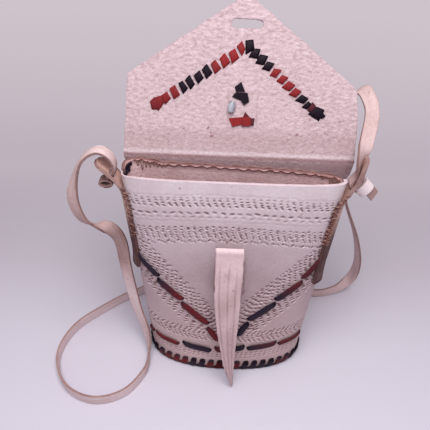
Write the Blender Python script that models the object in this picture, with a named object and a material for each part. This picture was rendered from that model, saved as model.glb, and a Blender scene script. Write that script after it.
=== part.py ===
"""Small natural leather crossbody bag: laced, tooled, flap open, long shoulder strap.

Frame: metres, +Z up, the front of the bag faces -Y and its right side is +X.
The origin is the middle of the flat underside of the base plate.

The walls are laid out flat first, in leather coordinates (s, z, w): s runs round the bag
from the middle of the front towards +X, z is the height and w is the distance outwards
from the outer face. Everything that belongs to a wall is cut and laced in that flat
sheet, and wrap() then bends it round the bag.
"""

import math
from functools import lru_cache

import bmesh
import bpy
import numpy as np
from mathutils import Matrix, Vector

MM = 0.001

# Body
HEIGHT = 225.0 * MM          # floor to the front rim
GIRTH = 406.2 * MM           # round the outside, the same at every height
BASE_DEPTH = 82.4 * MM       # front to back at the base
RIM_DEPTH = 27.9 * MM        # front to back at the rim
RIM_SHIFT = -2.0 * MM        # the rim's middle lies this far behind the base's middle
BASE_ROUNDING = 2.39         # superellipse exponent of the base oval
RIM_ROUNDING = 3.74          # superellipse exponent of the mouth
LEATHER = 2.8 * MM           # every panel
GAP = 0.3 * MM               # between pieces that touch
BACK_EDGE_TILT = 3.5 * MM    # the hand-cut back edge is this much higher at -X, lower at +X

# Base plate
SKIVE_WIDTH = 8.0 * MM       # the edge is pared thinner underneath, so the lacing lies flush
SKIVE_LEFT = 1.3 * MM        # leather left in the pared edge

# Lacing
LACE = 1.0 * MM              # thickness of every lace
LACE_WIDTH = 5.2 * MM
LACE_CHAMFER = 0.6 * MM      # how the lace rounds the lip of a slit
LACE_STEP = 4.5 * MM         # length of the straight bits that follow the curve of the wall
SLIT_CLEARANCE = 0.3 * MM    # round a lace in its slit
WHIPS = 44                   # stitches round the base
WHIP_HEIGHT = 12.5 * MM      # row of slits in the wall, above the floor
WHIP_INSET = 6.4 * MM        # row of slits in the base plate, in from its edge
WHIP_FLARE = 7.4 * MM        # width of a stitch where it turns under the edge
WHIP_SLANT = 2.8 * MM        # its lower end lies this far to the side
WHIP_CROWN = 0.35 * MM       # a flat stitch stands off this much more where the wall curves
HOOP_LOW = 30.5 * MM         # height of the hoop lace at the middle of the front
HOOP_HIGH = 37.5 * MM        # and beside the seams
HOOP_SKIP = 4.0 * MM
VEE_TOP = (88.0 * MM, 145.0 * MM)
VEE_KNEE = (20.0 * MM, 69.0 * MM)
VEE_FOOT = (6.5 * MM, 42.5 * MM)
VEE_SHIFT = 1.5 * MM         # the V's axis lies this far towards +X
VEE_DASHES = (28.0 * MM, 30.0 * MM, 33.0 * MM, 19.0 * MM)
VEE_SKIP = 5.2 * MM
CORNER_LACE_HEIGHT = HEIGHT - 9.0 * MM
CORNER_LACE_SPAN = 13.0 * MM

# Tooling
STAMP_DEPTH = 0.45 * MM
STAMP_LENGTH = 4.4 * MM
STAMP_WIDTH = 1.9 * MM
STAMP_PITCH = 7.2 * MM
TOOLED_REACH = 92.0 * MM     # the rows stop this far from the middle
UPPER_ROWS = (208.5 * MM, 201.5 * MM)
LENS_ROWS = (193.0 * MM,)
LOWER_ROWS = (178.0 * MM, 170.5 * MM)
VEE_ROWS = (8.0 * MM, 14.5 * MM, -8.0 * MM)

# Flap, in its own plane: x sideways, u up from the fold
FLAP_LEAN = 27.0             # degrees behind upright as it stands open
FOLD_HEIGHT = 232.9 * MM
FLAP_LEFT = -96.0 * MM
FLAP_RIGHT = 101.0 * MM
FLAP_STRAIGHT = 62.0 * MM    # length of the straight sides
FLAP_SKEW = -2.5 * MM        # the hand-cut sides drift by this much
FLAP_LENGTH = 130.5 * MM
FLAP_POINT_X = 5.0 * MM
FLAP_CORNER = 9.0 * MM
FLAP_POINT_RADIUS = 16.0 * MM
SLOT_WIDTH = 26.0 * MM
SLOT_HEIGHT = 7.0 * MM
SLOT_UP = 108.2 * MM
MARGIN_DEPTH = 36.0 * MM     # sewn-on strip below the fold
MARGIN_TAPER = 12.0 * MM

# Lacing on the flap
BAR_ACROSS = 9.0 * MM        # between the two rows of slits
BAR_WIDTH = 6.4 * MM
BAR_NECK = 5.2 * MM          # where it is pinched in a slit
ARM_BARS = 11                # on each arm
LEFT_ARM = ((-68.2 * MM, 44.3 * MM), (0.0 * MM, 88.2 * MM))
RIGHT_ARM = ((11.6 * MM, 87.0 * MM), (66.2 * MM, 40.6 * MM))
KNOT_BAR = 9.0 * MM
BLACK_PIECE = ((4.8 * MM, 53.0 * MM), 17.5 * MM, 10.5 * MM, 107.0)
RED_PIECE = ((5.0 * MM, 30.0 * MM), 21.0 * MM, 8.0 * MM, 3.0)
BEAD_PLACE = (-5.0 * MM, 42.0 * MM)
BEAD_SIZE = (7.0 * MM, 12.5 * MM, 4.6 * MM)

# Closing tongue
TONGUE = 2.5 * MM
TONGUE_SLIT_HEIGHT = 111.5 * MM
TONGUE_ROOT_WIDTH = 29.0 * MM
TONGUE_FOLD_WIDTH = 25.2 * MM
TONGUE_ROOT_LENGTH = 24.0 * MM
TONGUE_SLIT_X = 0.8 * MM
FOLD_Y = -33.0 * MM
FOLD_Z = 165.6 * MM
FOLD_RADIUS = 2.6 * MM
TONGUE_STRAIGHT = 44.0 * MM
TONGUE_DRIFT = 8.0 * MM      # the tip lies this far towards +X of the fold
TONGUE_ROUTE = (
    (-34.4 * MM, 165.6 * MM), (-37.5 * MM, 150.0 * MM), (-42.5 * MM, 130.0 * MM),
    (-47.5 * MM, 111.0 * MM), (-52.0 * MM, 91.0 * MM), (-55.8 * MM, 70.0 * MM),
    (-59.0 * MM, 46.0 * MM), (-61.7 * MM, 22.0 * MM), (-63.4 * MM, 2.5 * MM),
)

# Side tabs
TAB_WIDTH = 18.5 * MM
TAB_FOOT = 118.0 * MM
TAB_LEAVES = 200.0 * MM      # height at which a tab leaves the wall
TAB_LOOSE = 2.0 * MM         # its free foot stands off by this much more
EAR_SLOT = (13.2 * MM, 5.6 * MM)
LEFT_EAR = (
    (0.0, 0.0), (0.9 * MM, 7.0 * MM), (3.3 * MM, 14.0 * MM), (7.6 * MM, 20.5 * MM),
    (13.0 * MM, 26.5 * MM), (18.5 * MM, 32.0 * MM), (21.0 * MM, 34.3 * MM),
)
RIGHT_EAR = (
    (0.0, 0.0), (1.3 * MM, 7.0 * MM), (4.3 * MM, 14.0 * MM), (7.8 * MM, 20.5 * MM),
    (10.2 * MM, 26.5 * MM), (11.3 * MM, 32.5 * MM), (11.8 * MM, 40.0 * MM), (12.4 * MM, 47.0 * MM),
)
LEFT_SLOT_UP = 22.2 * MM     # height of the strap's slot above the leaving point
RIGHT_SLOT_UP = 18.5 * MM

# Shoulder strap
STRAP_WIDTH = 12.0 * MM
STRAP = 2.5 * MM
STRAP_STEP = 22.0 * MM      # longest straight bit of its smooth line
STRAP_ROUTE = (              # millimetres, each with the direction of the strap's width
    (-107.5, -1.8, 219.4, 0.0, 1.0, 0.0),
    (-101.8, -1.8, 224.2, 0.0, 1.0, 0.0),
    (-100.9, -1.8, 232.0, 0.0, 1.0, 0.0),
    (-104.8, -1.7, 240.2, 0.0, 1.0, 0.0),
    (-114.5, -1.4, 243.6, 0.0, 1.0, 0.0),
    (-128.0, -1.0, 233.6, -0.1, 1.0, 0.0),
    (-137.3, -1.8, 214.0, -0.55, 0.85, 0.0),
    (-140.2, -7.0, 196.5, -0.9, 0.45, 0.0),
    (-134.4, -11.6, 179.4, -0.75, 0.45, -0.5),
    (-122.4, -12.6, 171.6, -0.1, 0.85, -0.5),
    (-110.8, -9.3, 166.4, 0.45, 0.6, 0.65),
    (-103.6, -5.6, 147.5, 0.95, 0.0, 0.3),
    (-102.0, -4.0, 108.0, 0.97, -0.25, 0.0),
    (-95.6, -8.4, 58.0, 0.9, -0.4, 0.2),
    (-86.3, -17.0, 29.5, 0.65, -0.5, 0.55),
    (-82.5, -31.0, 10.0, 0.15, -0.25, 0.96),
    (-84.0, -53.0, 6.5, 0.0, 0.0, 1.0),
    (-101.5, -78.5, 6.5, 0.0, 0.0, 1.0),
    (-131.0, -87.5, 6.5, 0.0, 0.0, 1.0),
    (-162.0, -74.0, 6.5, 0.0, 0.0, 1.0),
    (-180.0, -40.0, 6.5, 0.0, 0.0, 1.0),
    (-173.0, -2.6, 6.5, 0.0, 0.0, 1.0),
    (-146.6, 28.1, 6.5, 0.0, 0.0, 1.0),
    (-110.0, 57.2, 6.5, 0.0, 0.0, 1.0),
    (-58.0, 78.0, 6.5, 0.0, 0.0, 1.0),
    (92.0, 68.6, 6.5, 0.0, 0.0, 1.0),
    (131.6, 72.0, 8.0, -0.15, 0.0, 1.0),
    (153.0, 79.0, 22.0, -0.5, 0.5, 0.7),
    (154.2, 71.0, 58.0, -0.4, 0.9, 0.1),
    (139.2, 58.2, 110.0, -0.2, 0.98, 0.0),
    (114.5, 52.5, 167.5, 0.0, 1.0, 0.0),
    (100.8, 58.0, 220.0, 0.0, 1.0, 0.0),
    (101.4, 60.0, 266.0, 0.3, 0.9, 0.4),
    (107.6, 51.6, 285.0, 0.85, 0.1, 0.5),
    (113.8, 34.0, 272.4, 0.98, 0.1, 0.1),
    (107.6, 9.6, 257.0, 0.65, 0.75, 0.0),
    (102.9, -1.8, 247.5, 0.0, 1.0, 0.0),
    (102.6, -1.8, 230.2, 0.0, 1.0, 0.0),
    (98.5, -1.8, 221.0, 0.0, 1.0, 0.0),
    (104.8, -1.8, 217.1, 0.0, 1.0, 0.0),
)
LEFT_KNOT = ((-109.6, -1.8, 213.4), (7.0, 4.6), 10.0)
KNOT_HOLE = 0.52             # the hole in the left knot, as a share of its size
RIGHT_KNOT = ((110.1, -1.8, 214.8), (4.6, 7.6), 10.0)
KNOT_TAIL = ((110.0, -1.8, 214.6), (118.4, -2.2, 209.6), (125.2, -3.0, 205.0))


def clear_scene():
    for item in list(bpy.data.objects):
        bpy.data.objects.remove(item, do_unlink=True)


def make_material(name, color, roughness):
    material = bpy.data.materials.new(name)
    material.use_nodes = True
    shader = material.node_tree.nodes["Principled BSDF"]
    shader.inputs["Base Color"].default_value = (*color, 1.0)
    shader.inputs["Roughness"].default_value = roughness
    shader.inputs["Metallic"].default_value = 0.0
    return material


def add_object(name, bm, material, flat=True):
    bmesh.ops.recalc_face_normals(bm, faces=bm.faces)
    mesh = bpy.data.meshes.new(name)
    bm.to_mesh(mesh)
    bm.free()
    mesh.materials.append(material)
    if not flat:
        mesh.shade_smooth()
        mesh.set_sharp_from_angle(angle=math.radians(35.0))
    item = bpy.data.objects.new(name, mesh)
    bpy.context.scene.collection.objects.link(item)
    return item


# The bent wall

def depth_at(z):
    return BASE_DEPTH + (RIM_DEPTH - BASE_DEPTH) * z / HEIGHT


def middle_at(z):
    return RIM_SHIFT * z / HEIGHT


def front_y(z):
    return middle_at(z) - depth_at(z) / 2.0


def back_y(z):
    return middle_at(z) + depth_at(z) / 2.0


def quarter_curve(half_width, half_depth, rounding):
    angle = np.linspace(0.0, math.pi / 2.0, 600)
    x = half_width * np.sin(angle) ** (2.0 / rounding)
    y = half_depth * np.cos(angle) ** (2.0 / rounding)
    length = np.concatenate([[0.0], np.cumsum(np.hypot(np.diff(x), np.diff(y)))])
    return x, y, length


@lru_cache(maxsize=None)
def section(level):
    """One horizontal outline, level in tenths of a millimetre."""
    z = level * 0.1 * MM
    rounding = BASE_ROUNDING + (RIM_ROUNDING - BASE_ROUNDING) * z / HEIGHT
    half_depth = depth_at(z) / 2.0
    low = GIRTH * 0.05
    high = GIRTH * 0.30
    for _ in range(40):
        half_width = (low + high) / 2.0
        if quarter_curve(half_width, half_depth, rounding)[2][-1] * 4.0 > GIRTH:
            high = half_width
        else:
            low = half_width
    x, y, length = quarter_curve(half_width, half_depth, rounding)
    return half_width, half_depth, rounding, x, y, length * (GIRTH / 4.0 / length[-1])


def wrap(s, z, w):
    """From the flat leather to the bag."""
    half_width, half_depth, rounding, xs, ys, lengths = section(round(z / (0.1 * MM)))
    s = (s + GIRTH / 2.0) % GIRTH - GIRTH / 2.0
    along = abs(s)
    front = along <= GIRTH / 4.0
    if not front:
        along = GIRTH / 2.0 - along
    x = float(np.interp(along, lengths, xs))
    y = float(np.interp(along, lengths, ys))
    nx = (x / half_width) ** (rounding - 1.0) / half_width
    ny = (y / half_depth) ** (rounding - 1.0) / half_depth
    size = math.hypot(nx, ny)
    side = 1.0 if s >= 0.0 else -1.0
    face = -1.0 if front else 1.0
    x = side * (x + w * nx / size)
    y = face * (y + w * ny / size)
    return Vector((x, y + middle_at(z), z))


def wrap_mesh(bm):
    for vertex in bm.verts:
        vertex.co = wrap(*vertex.co)


# Flat sheets, slits and laces

def add_grid(bm, columns, rows, low_w, high_w, place):
    """A closed sheet with a grid on both faces; place(column, row, w) gives each point."""
    layers = []
    for w in (low_w, high_w):
        layers.append([[bm.verts.new(place(c, r, w)) for r in rows] for c in columns])
    inner, outer = layers
    last_c = len(columns) - 1
    last_r = len(rows) - 1
    for i in range(last_c):
        for j in range(last_r):
            bm.faces.new((outer[i][j], outer[i + 1][j], outer[i + 1][j + 1], outer[i][j + 1]))
            bm.faces.new((inner[i][j], inner[i][j + 1], inner[i + 1][j + 1], inner[i + 1][j]))
    for i in range(last_c):
        bm.faces.new((inner[i][0], inner[i + 1][0], outer[i + 1][0], outer[i][0]))
        bm.faces.new((inner[i][last_r], outer[i][last_r], outer[i + 1][last_r], inner[i + 1][last_r]))
    for j in range(last_r):
        bm.faces.new((inner[0][j], outer[0][j], outer[0][j + 1], inner[0][j + 1]))
        bm.faces.new((inner[last_c][j], inner[last_c][j + 1], outer[last_c][j + 1], outer[last_c][j]))


def add_prism(bm, outline, low, high):
    """A closed prism over an outline of (a, b) points, from low to high along the third axis."""
    bottom = [bm.verts.new((a, b, low)) for a, b in outline]
    top = [bm.verts.new((a, b, high)) for a, b in outline]
    bm.faces.new(list(reversed(bottom)))
    bm.faces.new(top)
    for i in range(len(outline)):
        j = (i + 1) % len(outline)
        bm.faces.new((bottom[i], bottom[j], top[j], top[i]))


def add_slit(bm, center, across, length, height, low, high):
    """A box cutter: length along the direction across, height at right angles to it."""
    ca, cb = center
    ax, ay = across
    outline = []
    for p, q in ((-1, -1), (1, -1), (1, 1), (-1, 1)):
        a = ca + ax * p * length / 2.0 - ay * q * height / 2.0
        b = cb + ay * p * length / 2.0 + ax * q * height / 2.0
        outline.append((a, b))
    add_prism(bm, outline, low, high)


def add_stamp(bm, center, along, length, width, surface):
    """A lens-shaped tool mark: a four-sided hollow cut into the outer face."""
    ca, cb = center
    ax, ay = along
    ring = []
    for p, q in ((-1, 0), (0, -1), (1, 0), (0, 1)):
        a = ca + ax * p * length / 2.0 - ay * q * width / 2.0
        b = cb + ay * p * length / 2.0 + ax * q * width / 2.0
        ring.append(bm.verts.new((a, b, surface + STAMP_DEPTH)))
    point = bm.verts.new((ca, cb, surface - STAMP_DEPTH))
    bm.faces.new(ring)
    for i in range(4):
        bm.faces.new((ring[(i + 1) % 4], ring[i], point))


def cut(bm, cutters, operation="DIFFERENCE"):
    """The sheet bm less the closed bodies in cutters, or joined with them."""
    scene = bpy.context.scene
    items = []
    for source in (bm, cutters):
        bmesh.ops.recalc_face_normals(source, faces=source.faces)
        mesh = bpy.data.meshes.new("cut")
        source.to_mesh(mesh)
        source.free()
        item = bpy.data.objects.new("cut", mesh)
        scene.collection.objects.link(item)
        items.append(item)
    body, tool = items
    modifier = body.modifiers.new("cut", "BOOLEAN")
    modifier.operation = operation
    modifier.solver = "EXACT"
    modifier.object = tool
    result = bmesh.new()
    result.from_object(body, bpy.context.evaluated_depsgraph_get())
    for item in items:
        mesh = item.data
        bpy.data.objects.remove(item, do_unlink=True)
        bpy.data.meshes.remove(mesh)
    bmesh.ops.triangulate(result, faces=result.faces)
    return result


def add_ribbon(bm, points, across, widths, thickness, closed=False):
    """A flat strip along points; across is its width direction, one for all or one each."""
    count = len(points)
    points = [Vector(p) for p in points]
    if isinstance(across, Vector):
        across = [across] * count
    if not isinstance(widths, (list, tuple)):
        widths = [widths] * count
    rings = []
    for i, point in enumerate(points):
        side = across[i].normalized()
        before = points[i] - points[i - 1] if closed or i > 0 else None
        after = points[(i + 1) % count] - points[i] if closed or i < count - 1 else None
        normals = []
        for step in (before, after):
            if step is not None:
                flat = step - side * step.dot(side)
                normals.append(side.cross(flat.normalized()))
        if len(normals) == 2:
            normal = (normals[0] + normals[1]) / (1.0 + normals[0].dot(normals[1]))
        else:
            normal = normals[0]
        half = side * widths[i] / 2.0
        lift = normal * thickness / 2.0
        corners = (point - half - lift, point + half - lift, point + half + lift, point - half + lift)
        rings.append([bm.verts.new(corner) for corner in corners])
    for i in range(count if closed else count - 1):
        first = rings[i]
        second = rings[(i + 1) % count]
        for k in range(4):
            m = (k + 1) % 4
            bm.faces.new((first[k], first[m], second[m], second[k]))
    if not closed:
        bm.faces.new(list(reversed(rings[0])))
        bm.faces.new(rings[-1])


class Route:
    """A smooth line in a flat sheet, through a few points."""

    def __init__(self, points, steps=24):
        points = [Vector((a, b)) for a, b in points]
        ends = [points[0] * 2 - points[1]] + points + [points[-1] * 2 - points[-2]]
        self.points = []
        for i in range(1, len(ends) - 2):
            p0, p1, p2, p3 = ends[i - 1:i + 3]
            for k in range(steps):
                t = k / steps
                self.points.append(0.5 * (2 * p1 + (p2 - p0) * t + (2 * p0 - 5 * p1 + 4 * p2 - p3) * t * t
                                          + (3 * p1 - p0 - 3 * p2 + p3) * t ** 3))
        self.points.append(points[-1])
        self.lengths = [0.0]
        for a, b in zip(self.points, self.points[1:]):
            self.lengths.append(self.lengths[-1] + (b - a).length)
        self.length = self.lengths[-1]

    def at(self, distance):
        """Place and direction at a distance from the start."""
        i = int(np.searchsorted(self.lengths, distance)) - 1
        i = min(max(i, 0), len(self.points) - 2)
        step = self.points[i + 1] - self.points[i]
        size = self.lengths[i + 1] - self.lengths[i]
        place = self.points[i] + step * ((distance - self.lengths[i]) / size)
        return place, step.normalized()


def running_lace(route, dashes, skip, start, slits):
    """A lace in and out of the wall. Returns its points and width directions, and cuts slits."""
    outside = GAP + LACE / 2.0
    inside = -LEATHER - GAP - LACE / 2.0
    places = []
    distance = start
    for number, dash in enumerate(dashes):
        places.append((distance, inside))
        pieces = max(2, round(dash / LACE_STEP))
        for k in range(pieces + 1):
            shift = distance + dash * k / pieces
            if k == 0:
                places.append((shift, outside - LACE_CHAMFER))
                shift += LACE_CHAMFER
            if k == pieces:
                places.append((shift - LACE_CHAMFER, outside))
                places.append((shift, outside - LACE_CHAMFER))
            else:
                places.append((shift, outside))
        places.append((distance + dash, inside))
        for end in (distance, distance + dash):
            spot, direction = route.at(end)
            add_slit(slits, spot, (-direction.y, direction.x), LACE_WIDTH + 2 * SLIT_CLEARANCE,
                     LACE + 2 * SLIT_CLEARANCE, -LEATHER - LACE, LACE)
        distance += dash + skip
    first = (places[0][0] - 4.0 * MM, inside)
    last = (places[-1][0] + 4.0 * MM, inside)
    points = []
    across = []
    for shift, w in [first] + places + [last]:
        spot, direction = route.at(shift)
        points.append((spot.x, spot.y, w))
        across.append(Vector((-direction.y, direction.x, 0.0)))
    return points, across


def build_lace(name, lace, material):
    points, across = lace
    bm = bmesh.new()
    add_ribbon(bm, points, across, LACE_WIDTH, LACE)
    wrap_mesh(bm)
    return add_object(name, bm, material)


# Walls

def vee_route(side):
    points = []
    for a, b in (VEE_TOP, VEE_KNEE, VEE_FOOT):
        points.append((side * a + VEE_SHIFT, b))
    return Route(points)


def hoop_height(s):
    return HOOP_LOW + (HOOP_HIGH - HOOP_LOW) * (abs(s) / (GIRTH / 4.0)) ** 1.5


def hoop_route():
    reach = GIRTH / 4.0 - 2.0 * MM
    count = 12
    points = []
    for k in range(count + 1):
        s = -reach + 2.0 * reach * k / count
        points.append((s, hoop_height(s)))
    return Route(points, steps=6)


def whip_places(front):
    """Middles of the slits of the base lacing, on the front or the back panel."""
    pitch = GIRTH / WHIPS
    half = WHIPS // 4
    start = -half if front else half
    return [(start + k + 0.5) * pitch for k in range(2 * half)]


def column_places(center):
    """Grid lines along s: closer together where the wall turns the corner."""
    quarter = GIRTH / 4.0 - GAP / 2.0
    flat = 66.0 * MM
    wide = 11
    places = []
    for k in range(-wide, wide + 1):
        places.append(flat * k / wide)
    tight = 14
    for k in range(1, tight + 1):
        reach = flat + (quarter - flat) * k / tight
        places.append(reach)
        places.append(-reach)
    return [center + p for p in sorted(places)]


def row_places(top):
    foot = LEATHER + GAP
    return [foot + (top - foot) * k / 7.0 for k in range(8)]


def add_whip_slits(slits, front):
    for s in whip_places(front):
        add_slit(slits, (s, WHIP_HEIGHT), (1.0, 0.0), LACE_WIDTH + 2 * SLIT_CLEARANCE,
                 LACE + 2 * SLIT_CLEARANCE, -LEATHER - LACE, LACE)


def add_tooling(slits):
    rows = [(z, 1.0) for z in UPPER_ROWS] + [(z, 0.0) for z in LENS_ROWS] + [(z, -1.0) for z in LOWER_ROWS]
    count = int(TOOLED_REACH / STAMP_PITCH)
    for z, slant in rows:
        for k in range(-count, count + 1):
            angle = math.radians(38.0 * slant)
            along = (math.cos(angle), math.sin(angle))
            add_stamp(slits, (k * STAMP_PITCH, z), along, STAMP_LENGTH, STAMP_WIDTH, 0.0)
    for side in (-1.0, 1.0):
        route = vee_route(side)
        for offset in VEE_ROWS:
            number = int((route.length - 10.0 * MM) / STAMP_PITCH)
            for k in range(number):
                spot, direction = route.at(4.0 * MM + k * STAMP_PITCH)
                normal = Vector((direction.y, -direction.x)) * -side
                place = spot + normal * offset
                if abs(place.x - VEE_SHIFT) < 17.0 * MM or abs(place.x) > TOOLED_REACH:
                    continue
                add_stamp(slits, place, (normal.x, normal.y), STAMP_LENGTH, STAMP_WIDTH, 0.0)


def build_front(leather, lace):
    slits = bmesh.new()
    add_whip_slits(slits, True)
    for side, name in ((-1.0, "left"), (1.0, "right")):
        thread = running_lace(vee_route(side), VEE_DASHES, VEE_SKIP, 1.0 * MM, slits)
        build_lace("front_lace_" + name, thread, lace)
    hoop = hoop_route()
    dashes = (hoop.length - 8.0 * MM + HOOP_SKIP) / 6.0 - HOOP_SKIP
    build_lace("hoop_lace", running_lace(hoop, (dashes,) * 6, HOOP_SKIP, 4.0 * MM, slits), lace)
    add_slit(slits, (TONGUE_SLIT_X, TONGUE_SLIT_HEIGHT), (1.0, 0.0), TONGUE_ROOT_WIDTH + 2 * SLIT_CLEARANCE,
             TONGUE + 2 * SLIT_CLEARANCE, -LEATHER - LACE, LACE)
    add_corner_slit(slits, 1.0)
    add_tooling(slits)
    bm = bmesh.new()
    add_grid(bm, column_places(0.0), row_places(HEIGHT), -LEATHER, 0.0, lambda s, z, w: (s, z, w))
    bm = cut(bm, slits)
    wrap_mesh(bm)
    return add_object("front_panel", bm, leather)


def back_edge(s):
    """Height of the back panel's hand-cut top edge."""
    across = (GIRTH / 2.0 - s) / (GIRTH / 4.0)
    return HEIGHT - BACK_EDGE_TILT * across


def build_back(leather):
    slits = bmesh.new()
    add_whip_slits(slits, False)
    add_corner_slit(slits, -1.0)

    def place(s, z, w):
        foot = LEATHER + GAP
        return (s, foot + (z - foot) * (back_edge(s) - foot) / (HEIGHT - foot), w)

    bm = bmesh.new()
    add_grid(bm, column_places(GIRTH / 2.0), row_places(HEIGHT), -LEATHER, 0.0, place)
    bm = cut(bm, slits)
    wrap_mesh(bm)
    return add_object("back_panel", bm, leather)


def corner_lace_s(way):
    """Where an end of the corner lace goes in: way 1 is on the front panel, -1 on the back."""
    return -GIRTH / 4.0 + way * CORNER_LACE_SPAN / 2.0


def add_corner_slit(slits, way):
    s = corner_lace_s(way)
    if way < 0.0:
        s += GIRTH
    add_slit(slits, (s, CORNER_LACE_HEIGHT), (0.0, 1.0), LACE_WIDTH + 2 * SLIT_CLEARANCE,
             LACE + 2 * SLIT_CLEARANCE, -LEATHER - LACE, LACE)


def build_corner_lace(lace):
    inside = -LEATHER - GAP - LACE / 2.0
    start = corner_lace_s(-1.0)
    end = corner_lace_s(1.0)
    points = [(start, CORNER_LACE_HEIGHT, -GAP)]
    count = 6
    for k in range(count + 1):
        points.append((start + (end - start) * k / count, CORNER_LACE_HEIGHT, inside))
    points.append((end, CORNER_LACE_HEIGHT, -GAP))
    bm = bmesh.new()
    add_ribbon(bm, points, Vector((0.0, 1.0, 0.0)), LACE_WIDTH, LACE)
    wrap_mesh(bm)
    return add_object("corner_lace", bm, lace)


def build_base(leather):
    """Oval plate: full thickness in the middle, pared thinner round its edge."""
    count = 96
    rings = []
    for w, z in ((-SKIVE_WIDTH, 0.0), (-SKIVE_WIDTH, LEATHER - SKIVE_LEFT), (0.0, LEATHER - SKIVE_LEFT),
                 (0.0, LEATHER)):
        ring = []
        for k in range(count):
            place = wrap(GIRTH * k / count, 0.0, w)
            ring.append(Vector((place.x, place.y, z)))
        rings.append(ring)
    bm = bmesh.new()
    rings = [[bm.verts.new(p) for p in ring] for ring in rings]
    bm.faces.new(list(reversed(rings[0])))
    bm.faces.new(rings[-1])
    for first, second in zip(rings, rings[1:]):
        for k in range(count):
            m = (k + 1) % count
            bm.faces.new((first[k], first[m], second[m], second[k]))
    slits = bmesh.new()
    pitch = GIRTH / WHIPS
    for k in range(WHIPS):
        add_slit_upright(slits, k * pitch)
    bm = cut(bm, slits)
    return add_object("base_plate", bm, leather)


def add_slit_upright(slits, s):
    half = LACE_WIDTH / 2.0 + SLIT_CLEARANCE
    depth = LACE / 2.0 + 2 * SLIT_CLEARANCE
    corners = ((-half, -depth), (half, -depth), (half, depth), (-half, depth))
    outline = []
    for a, b in corners:
        place = wrap(s + a, LEATHER, -WHIP_INSET + b)
        outline.append((place.x, place.y))
    add_prism(slits, outline, -LACE, LEATHER + LACE)


def build_base_lace(lace):
    """One lace whipped all round the lower edge, through the wall and the base plate."""
    pitch = GIRTH / WHIPS
    outside = GAP + WHIP_CROWN + LACE / 2.0
    inside = -LEATHER - GAP - LACE / 2.0
    under = (LEATHER - SKIVE_LEFT) / 2.0
    over = LEATHER + GAP + LACE
    points = []
    widths = []
    for k in range(WHIPS):
        s = -(k + 0.5) * pitch
        stitch = (
            (s, WHIP_HEIGHT, inside, LACE_WIDTH),
            (s, WHIP_HEIGHT, outside - LACE_CHAMFER, LACE_WIDTH),
            (s, WHIP_HEIGHT - LACE_CHAMFER, outside, LACE_WIDTH),
            (s - WHIP_SLANT * 0.9, under + LACE_CHAMFER, outside, WHIP_FLARE),
            (s - WHIP_SLANT, under, outside - LACE_CHAMFER, WHIP_FLARE),
            (s - pitch / 2.0, under, -WHIP_INSET, LACE_WIDTH),
            (s - pitch / 2.0, over, -WHIP_INSET, LACE_WIDTH),
        )
        for a, z, w, width in stitch:
            points.append((a, z, w))
            widths.append(width)
    bm = bmesh.new()
    add_ribbon(bm, points, Vector((1.0, 0.0, 0.0)), widths, LACE, closed=True)
    wrap_mesh(bm)
    return add_object("base_lace", bm, lace)


# Flap

def round_corner(before, corner, after, radius, steps):
    """Points of an arc that rounds one corner of an outline."""
    corner = Vector(corner)
    to_before = (Vector(before) - corner).normalized()
    to_after = (Vector(after) - corner).normalized()
    half = to_before.angle(to_after) / 2.0
    reach = radius / math.tan(half)
    center = corner + (to_before + to_after).normalized() * (radius / math.sin(half))
    start = corner + to_before * reach - center
    turn = math.pi - 2.0 * half
    sign = 1.0 if start.x * to_after.y - start.y * to_after.x > 0.0 else -1.0
    points = []
    for k in range(steps + 1):
        angle = sign * turn * k / steps
        x = start.x * math.cos(angle) - start.y * math.sin(angle)
        y = start.x * math.sin(angle) + start.y * math.cos(angle)
        points.append((center.x + x, center.y + y))
    return points


def flap_outline(foot):
    left_top = (FLAP_LEFT + FLAP_SKEW, FLAP_STRAIGHT)
    right_top = (FLAP_RIGHT + FLAP_SKEW, FLAP_STRAIGHT)
    tip = (FLAP_POINT_X, FLAP_LENGTH + 5.5 * MM)
    outline = [(FLAP_LEFT, foot), (FLAP_RIGHT, foot)]
    outline += round_corner(outline[1], right_top, tip, FLAP_CORNER, 4)
    outline += round_corner(right_top, tip, left_top, FLAP_POINT_RADIUS, 8)
    outline += round_corner(tip, left_top, outline[0], FLAP_CORNER, 4)
    return outline


def slot_outline():
    radius = SLOT_HEIGHT / 2.0
    reach = SLOT_WIDTH / 2.0 - radius
    outline = []
    for side in (1.0, -1.0):
        for k in range(7):
            angle = math.radians(-90.0 + 30.0 * k) if side > 0.0 else math.radians(90.0 + 30.0 * k)
            outline.append((FLAP_POINT_X + 1.0 * MM + side * reach + radius * math.cos(angle),
                            SLOT_UP + radius * math.sin(angle)))
    return outline


def to_flap(bm):
    """From flap coordinates (x, u, n), n towards the rough side, to the flap's own axes."""
    for vertex in bm.verts:
        x, u, n = vertex.co
        vertex.co = (x, -n, u)


def place_flap(item):
    """Stand a piece of the flap on the fold line."""
    item.location = fold_point()
    item.rotation_euler = (math.radians(-FLAP_LEAN), 0.0, 0.0)
    return item


def fold_point():
    slope = (back_y(0.0) - back_y(HEIGHT)) / HEIGHT
    stand_off = (GAP + LEATHER / 2.0) * math.hypot(1.0, slope)
    return Vector((0.0, back_y(FOLD_HEIGHT) + stand_off, FOLD_HEIGHT))


def arm_stitches(arm):
    """Middle, direction along the arm and direction across it, for every bar."""
    start = Vector(arm[0])
    end = Vector(arm[1])
    along = (end - start).normalized()
    across = Vector((-along.y, along.x))
    return [start + (end - start) * k / (ARM_BARS - 1) for k in range(ARM_BARS)], along, across


def add_arm_slits(slits, arm):
    middles, along, across = arm_stitches(arm)
    for middle in middles:
        for way in (-1.0, 1.0):
            spot = middle + across * way * BAR_ACROSS / 2.0
            add_slit(slits, spot, along, BAR_NECK + 2 * SLIT_CLEARANCE, LACE + 2 * SLIT_CLEARANCE,
                     -LEATHER, LEATHER)


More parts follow.
